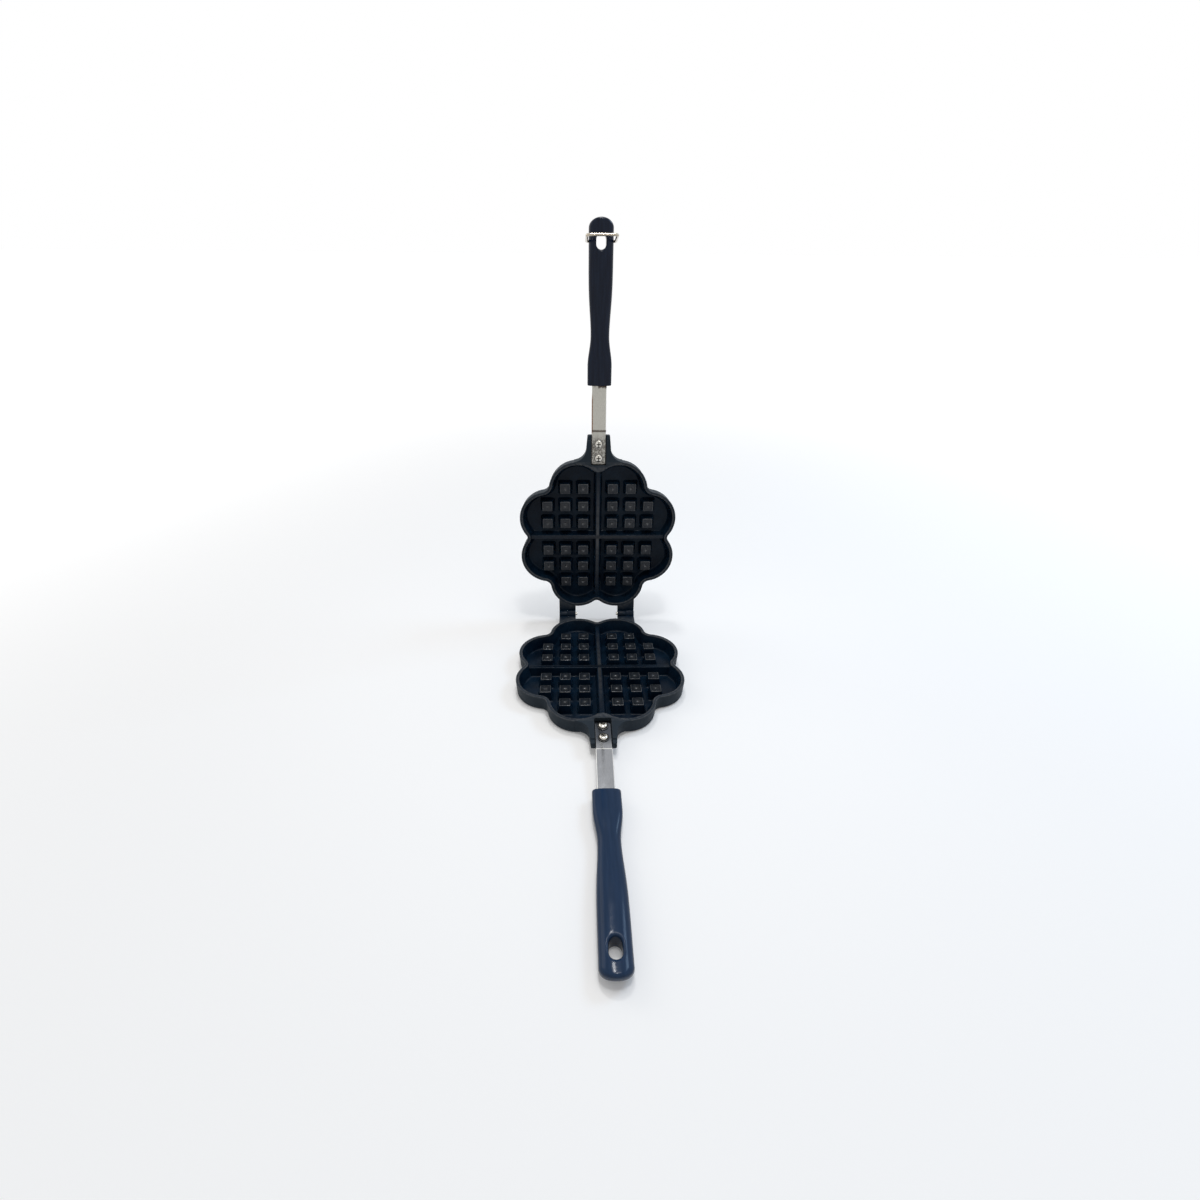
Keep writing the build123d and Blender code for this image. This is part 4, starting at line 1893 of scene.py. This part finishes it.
# Lit copy of the same coating: its lighter top faces and bluer tone are painted light for the upright half.
UPPER_PLATE = PlateCoating(
    "plate_coating", "lit_copy_satin_coating", faded=(0.0050, 0.0140, 0.0270), rubbed_and_painted_light=(0.0290, 0.0310, 0.0360)
)
LOWER_STRIP = StripSteel(
    "handle_strip",
    "lower_strip_steel",
    colour=(0.33, 0.34, 0.36),
    fork_shade=0.9,
    bend_highlight=0.9,
    roughness=(0.10, 0.17),
)
UPPER_STRIP = StripSteel(
    "handle_strip",
    "upper_strip_steel",
    rust_side=-1.0,
    rust_strength=1.0,
    band_strength=0.9,
    mottle=0.8,
    drips=1.0,
)
NICKEL = BrightSteel("screw_steel", "screw_nickel", roughness=(0.08, 0.16), crevice_dark=0.9)
LOWER_WASHER = BrightSteel(
    "screw_steel",
    "dark_washer_steel",
    colour=(0.09, 0.09, 0.09),
    darker=(0.04, 0.04, 0.04),
    roughness=(0.25, 0.38),
    crevice_dark=1.0,
)
UPPER_WASHER = BrightSteel(
    "screw_steel",
    "worn_washer_steel",
    colour=(0.30, 0.29, 0.27),
    darker=(0.14, 0.13, 0.12),
    roughness=(0.2, 0.3),
    crevice_dark=1.0,
)
PIN_STEEL = BrightSteel("pin_steel", "turned_pin_steel", roughness=(0.2, 0.34), stretch=(0.2, 4.0, 4.0))
LOWER_PLASTIC = GripPlastic("grip_plastic", "navy_plastic")
# Shaded copy of the grip plastic: the upper grip is the same plastic, painted darker to stand for the shade
# it sits in.
SHADED_UPPER_PLASTIC = GripPlastic(
    "grip_plastic", "shaded_navy_plastic", colour=(0.0010, 0.0042, 0.0150), scuffed=(0.0046, 0.0105, 0.0265)
)
WIRE = BrightSteel(
    "latch_wire",
    "bent_wire_steel",
    colour=(0.50, 0.45, 0.37),
    darker=(0.27, 0.23, 0.18),
    roughness=(0.12, 0.22),
    stretch=(0.3, 0.3, 3.0),
)


@dataclass(frozen=True)
class MouldHalf:
    """One half of the mould: plate, strip, screws, washers and grip."""

    place: HalfPlace
    grip: Grip
    plate_finish: PlateCoating
    strip_finish: StripSteel
    washer_finish: BrightSteel
    grip_finish: GripPlastic
    strip: Strip = Strip()

    def dress(self, plate: bpy.types.Mesh) -> None:
        """Builds the half's pieces and puts them in the scene.

        Args:
            plate: Mesh of the cast plate, which both halves share.
        """
        name, body, matrix = self.place.name, self.place.body, self.place.matrix()
        show(plate, f"{name}_cast_plate", matrix, body, f"{name}_plate", self.plate_finish)
        show(self.strip.build(), f"{name}_steel_strip", matrix, body, f"{name}_strip", self.strip_finish)
        for word, at in zip(("inner", "outer"), self.strip.screw_places):
            screw, washer = Screw(at).build(), Washer(at).build()
            show(screw, f"{name}_{word}_pan_screw", matrix, body, f"{name}_{word}_screw", NICKEL)
            node = f"{name}_{word}_washer"
            show(washer, f"{name}_{word}_flat_washer", matrix, body, node, self.washer_finish)
        grip = self.grip.build(self.strip.shell())
        show(grip, f"{name}_moulded_grip", matrix, body, f"{name}_grip", self.grip_finish)


@dataclass(frozen=True)
class Viewpoint:
    """Camera of the picture, worked out from the object's outline in it."""

    image_size: float = 1200.0
    focal_pixels: float = 590.2
    centre: Flat = (589.0, 590.0)
    roll_degrees: float = 0.506
    position: Spot = (-0.0234, -0.4768, 0.3868)
    direction: Spot = (0.0218, 0.8589, -0.5117)
    sensor: float = 36.0

    def build(self) -> bpy.types.Object:
        """Sets up the scene's camera.

        Returns:
            The camera.
        """
        lens = bpy.data.cameras.new("picture_camera")
        lens.sensor_fit = "HORIZONTAL"
        lens.sensor_width = self.sensor
        lens.lens = self.focal_pixels / self.image_size * self.sensor
        lens.shift_x = (self.image_size / 2 - self.centre[0]) / self.image_size
        lens.shift_y = (self.centre[1] - self.image_size / 2) / self.image_size
        lens.clip_start = 0.01
        camera = in_scene("picture_camera", lens)
        ahead = Vector(self.direction).normalized()
        level = ahead.cross(Vector((0, 0, 1))).normalized()
        upright = level.cross(ahead)
        roll = radians(self.roll_degrees)
        right = level * cos(roll) + upright * sin(roll)
        up = upright * cos(roll) - level * sin(roll)
        camera.matrix_world = standing(Vector(self.position), right, up, -ahead)
        bpy.context.scene.camera = camera
        return camera


@dataclass(frozen=True)
class Lamp:
    """Soft square lamp of the studio."""

    name: str
    position: Spot
    aim: Spot
    size: float
    watts: float
    colour: Colour = WHITE

    def build(self) -> bpy.types.Object:
        """Hangs the lamp.

        Returns:
            The lamp.
        """
        light = bpy.data.lights.new(self.name, "AREA")
        light.shape = "SQUARE"
        light.size = self.size
        light.energy = self.watts
        light.color = self.colour
        lamp = in_scene(self.name, light)
        way = Vector(self.aim) - Vector(self.position)
        turn = way.to_track_quat("-Z", "Y").to_matrix().to_4x4()
        lamp.matrix_world = Matrix.Translation(Vector(self.position)) @ turn
        return lamp


@dataclass(frozen=True)
class Studio:
    """Pale floor, pale surroundings and soft light."""

    floor_size: float = 40.0
    floor_colour: Colour = (0.86, 0.86, 0.86)
    floor_roughness: float = 0.9
    floor_specular: float = 0.1
    near: float = 0.3
    far: float = 1.6
    near_fill: float = 0.12
    far_fill: float = 0.64
    surround: float = 0.4
    lamps: tuple[Lamp, ...] = (
        Lamp("overhead_lamp", (0.1, 0.0, 1.3), (0.0, 0.0, 0.1), 0.5, 3.5),
        Lamp("back_lamp", (-0.06, 0.31, 1.3), (0.0, -0.1, 0.0), 0.12, 2.5),
        Lamp("front_lamp", (0.05, -0.25, 1.3), (0.0, 0.0, 0.1), 0.12, 2.0),
        Lamp("right_lamp", (0.85, 0.3, 0.95), (0.0, -0.1, 0.05), 0.35, 3.0, (0.5, 0.72, 1.0)),
        Lamp("left_lamp", (-1.1, 0.5, 0.8), (0.0, 0.0, 0.1), 0.8, 2.2, (1.0, 0.96, 0.9)),
    )

    def seen(self, wiring: Wiring) -> Socket:
        """Whether a ray comes from the camera, or from it by way of a mirror or glass.

        Args:
            wiring: The node tree that asks.

        Returns:
            1 for such a ray, and 0 for others.
        """
        rays = wiring.add("ShaderNodeLightPath").outputs
        plain = wiring.math("MAXIMUM", rays["Is Camera Ray"], rays["Is Glossy Ray"])
        return wiring.math("MAXIMUM", plain, rays["Is Transmission Ray"])

    def build_surround(self) -> None:
        """Sets up the world: even light, seen as white."""
        world = bpy.data.worlds.new("studio_surround")
        world.use_nodes = True
        wiring = Wiring(world.node_tree)
        background = world.node_tree.nodes["Background"]
        background.inputs["Color"].default_value = opaque(WHITE)
        lift = wiring.math("MULTIPLY_ADD", self.seen(wiring), 1.0 - self.surround, self.surround)
        wiring.feed(background.inputs["Strength"], lift)
        bpy.context.scene.world = world

    def build_floor(self) -> None:
        """Lays the floor."""
        half = self.floor_size / 2
        mesh = bpy.data.meshes.new("studio_floor")
        corners = [(-half, -half, 0.0), (half, -half, 0.0), (half, half, 0.0), (-half, half, 0.0)]
        mesh.from_pydata(corners, [], [(0, 1, 2, 3)])
        floor = in_scene("studio_floor", mesh)
        paint = bpy.data.materials.new("floor_paint")
        paint.use_nodes = True
        wiring = Wiring(paint.node_tree)
        shader = paint.node_tree.nodes["Principled BSDF"]
        shader.inputs["Base Color"].default_value = opaque(self.floor_colour)
        shader.inputs["Roughness"].default_value = self.floor_roughness
        shader.inputs["Specular IOR Level"].default_value = self.floor_specular
        shader.inputs["Emission Color"].default_value = opaque(WHITE)
        place = wiring.add("ShaderNodeTexCoord").outputs["Object"]
        distance = wiring.add("ShaderNodeVectorMath", {0: place}, operation="LENGTH").outputs["Value"]
        further = wiring.spread(distance, self.near, self.far, self.near_fill, self.far_fill)
        wiring.feed(shader.inputs["Emission Strength"], wiring.times(self.seen(wiring), further))
        mesh.materials.append(paint)

    def build(self) -> None:
        """Sets up the studio."""
        self.build_surround()
        self.build_floor()
        for lamp in self.lamps:
            lamp.build()
        bpy.context.scene.view_settings.view_transform = "Standard"


def main() -> None:
    """Builds the mould, its light and its camera."""
    logging.basicConfig(level=logging.INFO, format="%(message)s")
    lower = HalfPlace(Side.LOWER)
    upper = HalfPlace(Side.UPPER)
    plate = CastPlate().build()
    lower_grip = Grip(latch_holes=False)
    upper_grip = Grip(latch_holes=True, hang_place=120.7, hang_length=12.4)
    MouldHalf(lower, lower_grip, LOWER_PLATE, LOWER_STRIP, LOWER_WASHER, LOWER_PLASTIC).dress(plate)
    MouldHalf(upper, upper_grip, UPPER_PLATE, UPPER_STRIP, UPPER_WASHER, SHADED_UPPER_PLASTIC).dress(plate)
    for side, word, half in ((1, "right", lower), (-1, "left", upper)):
        pin = HingePin(side)
        show(pin.build(), f"{word}_steel_pin", pin.place(), half.body, f"hinge_pin_{word}", PIN_STEEL)
    latch = LatchLoop()
    show(latch.build(), "wire_latch_loop", latch.place(upper), latch.body, "latch_loop", WIRE)
    Studio().build()
    Viewpoint().build()


if __name__ == "__main__":
    main()
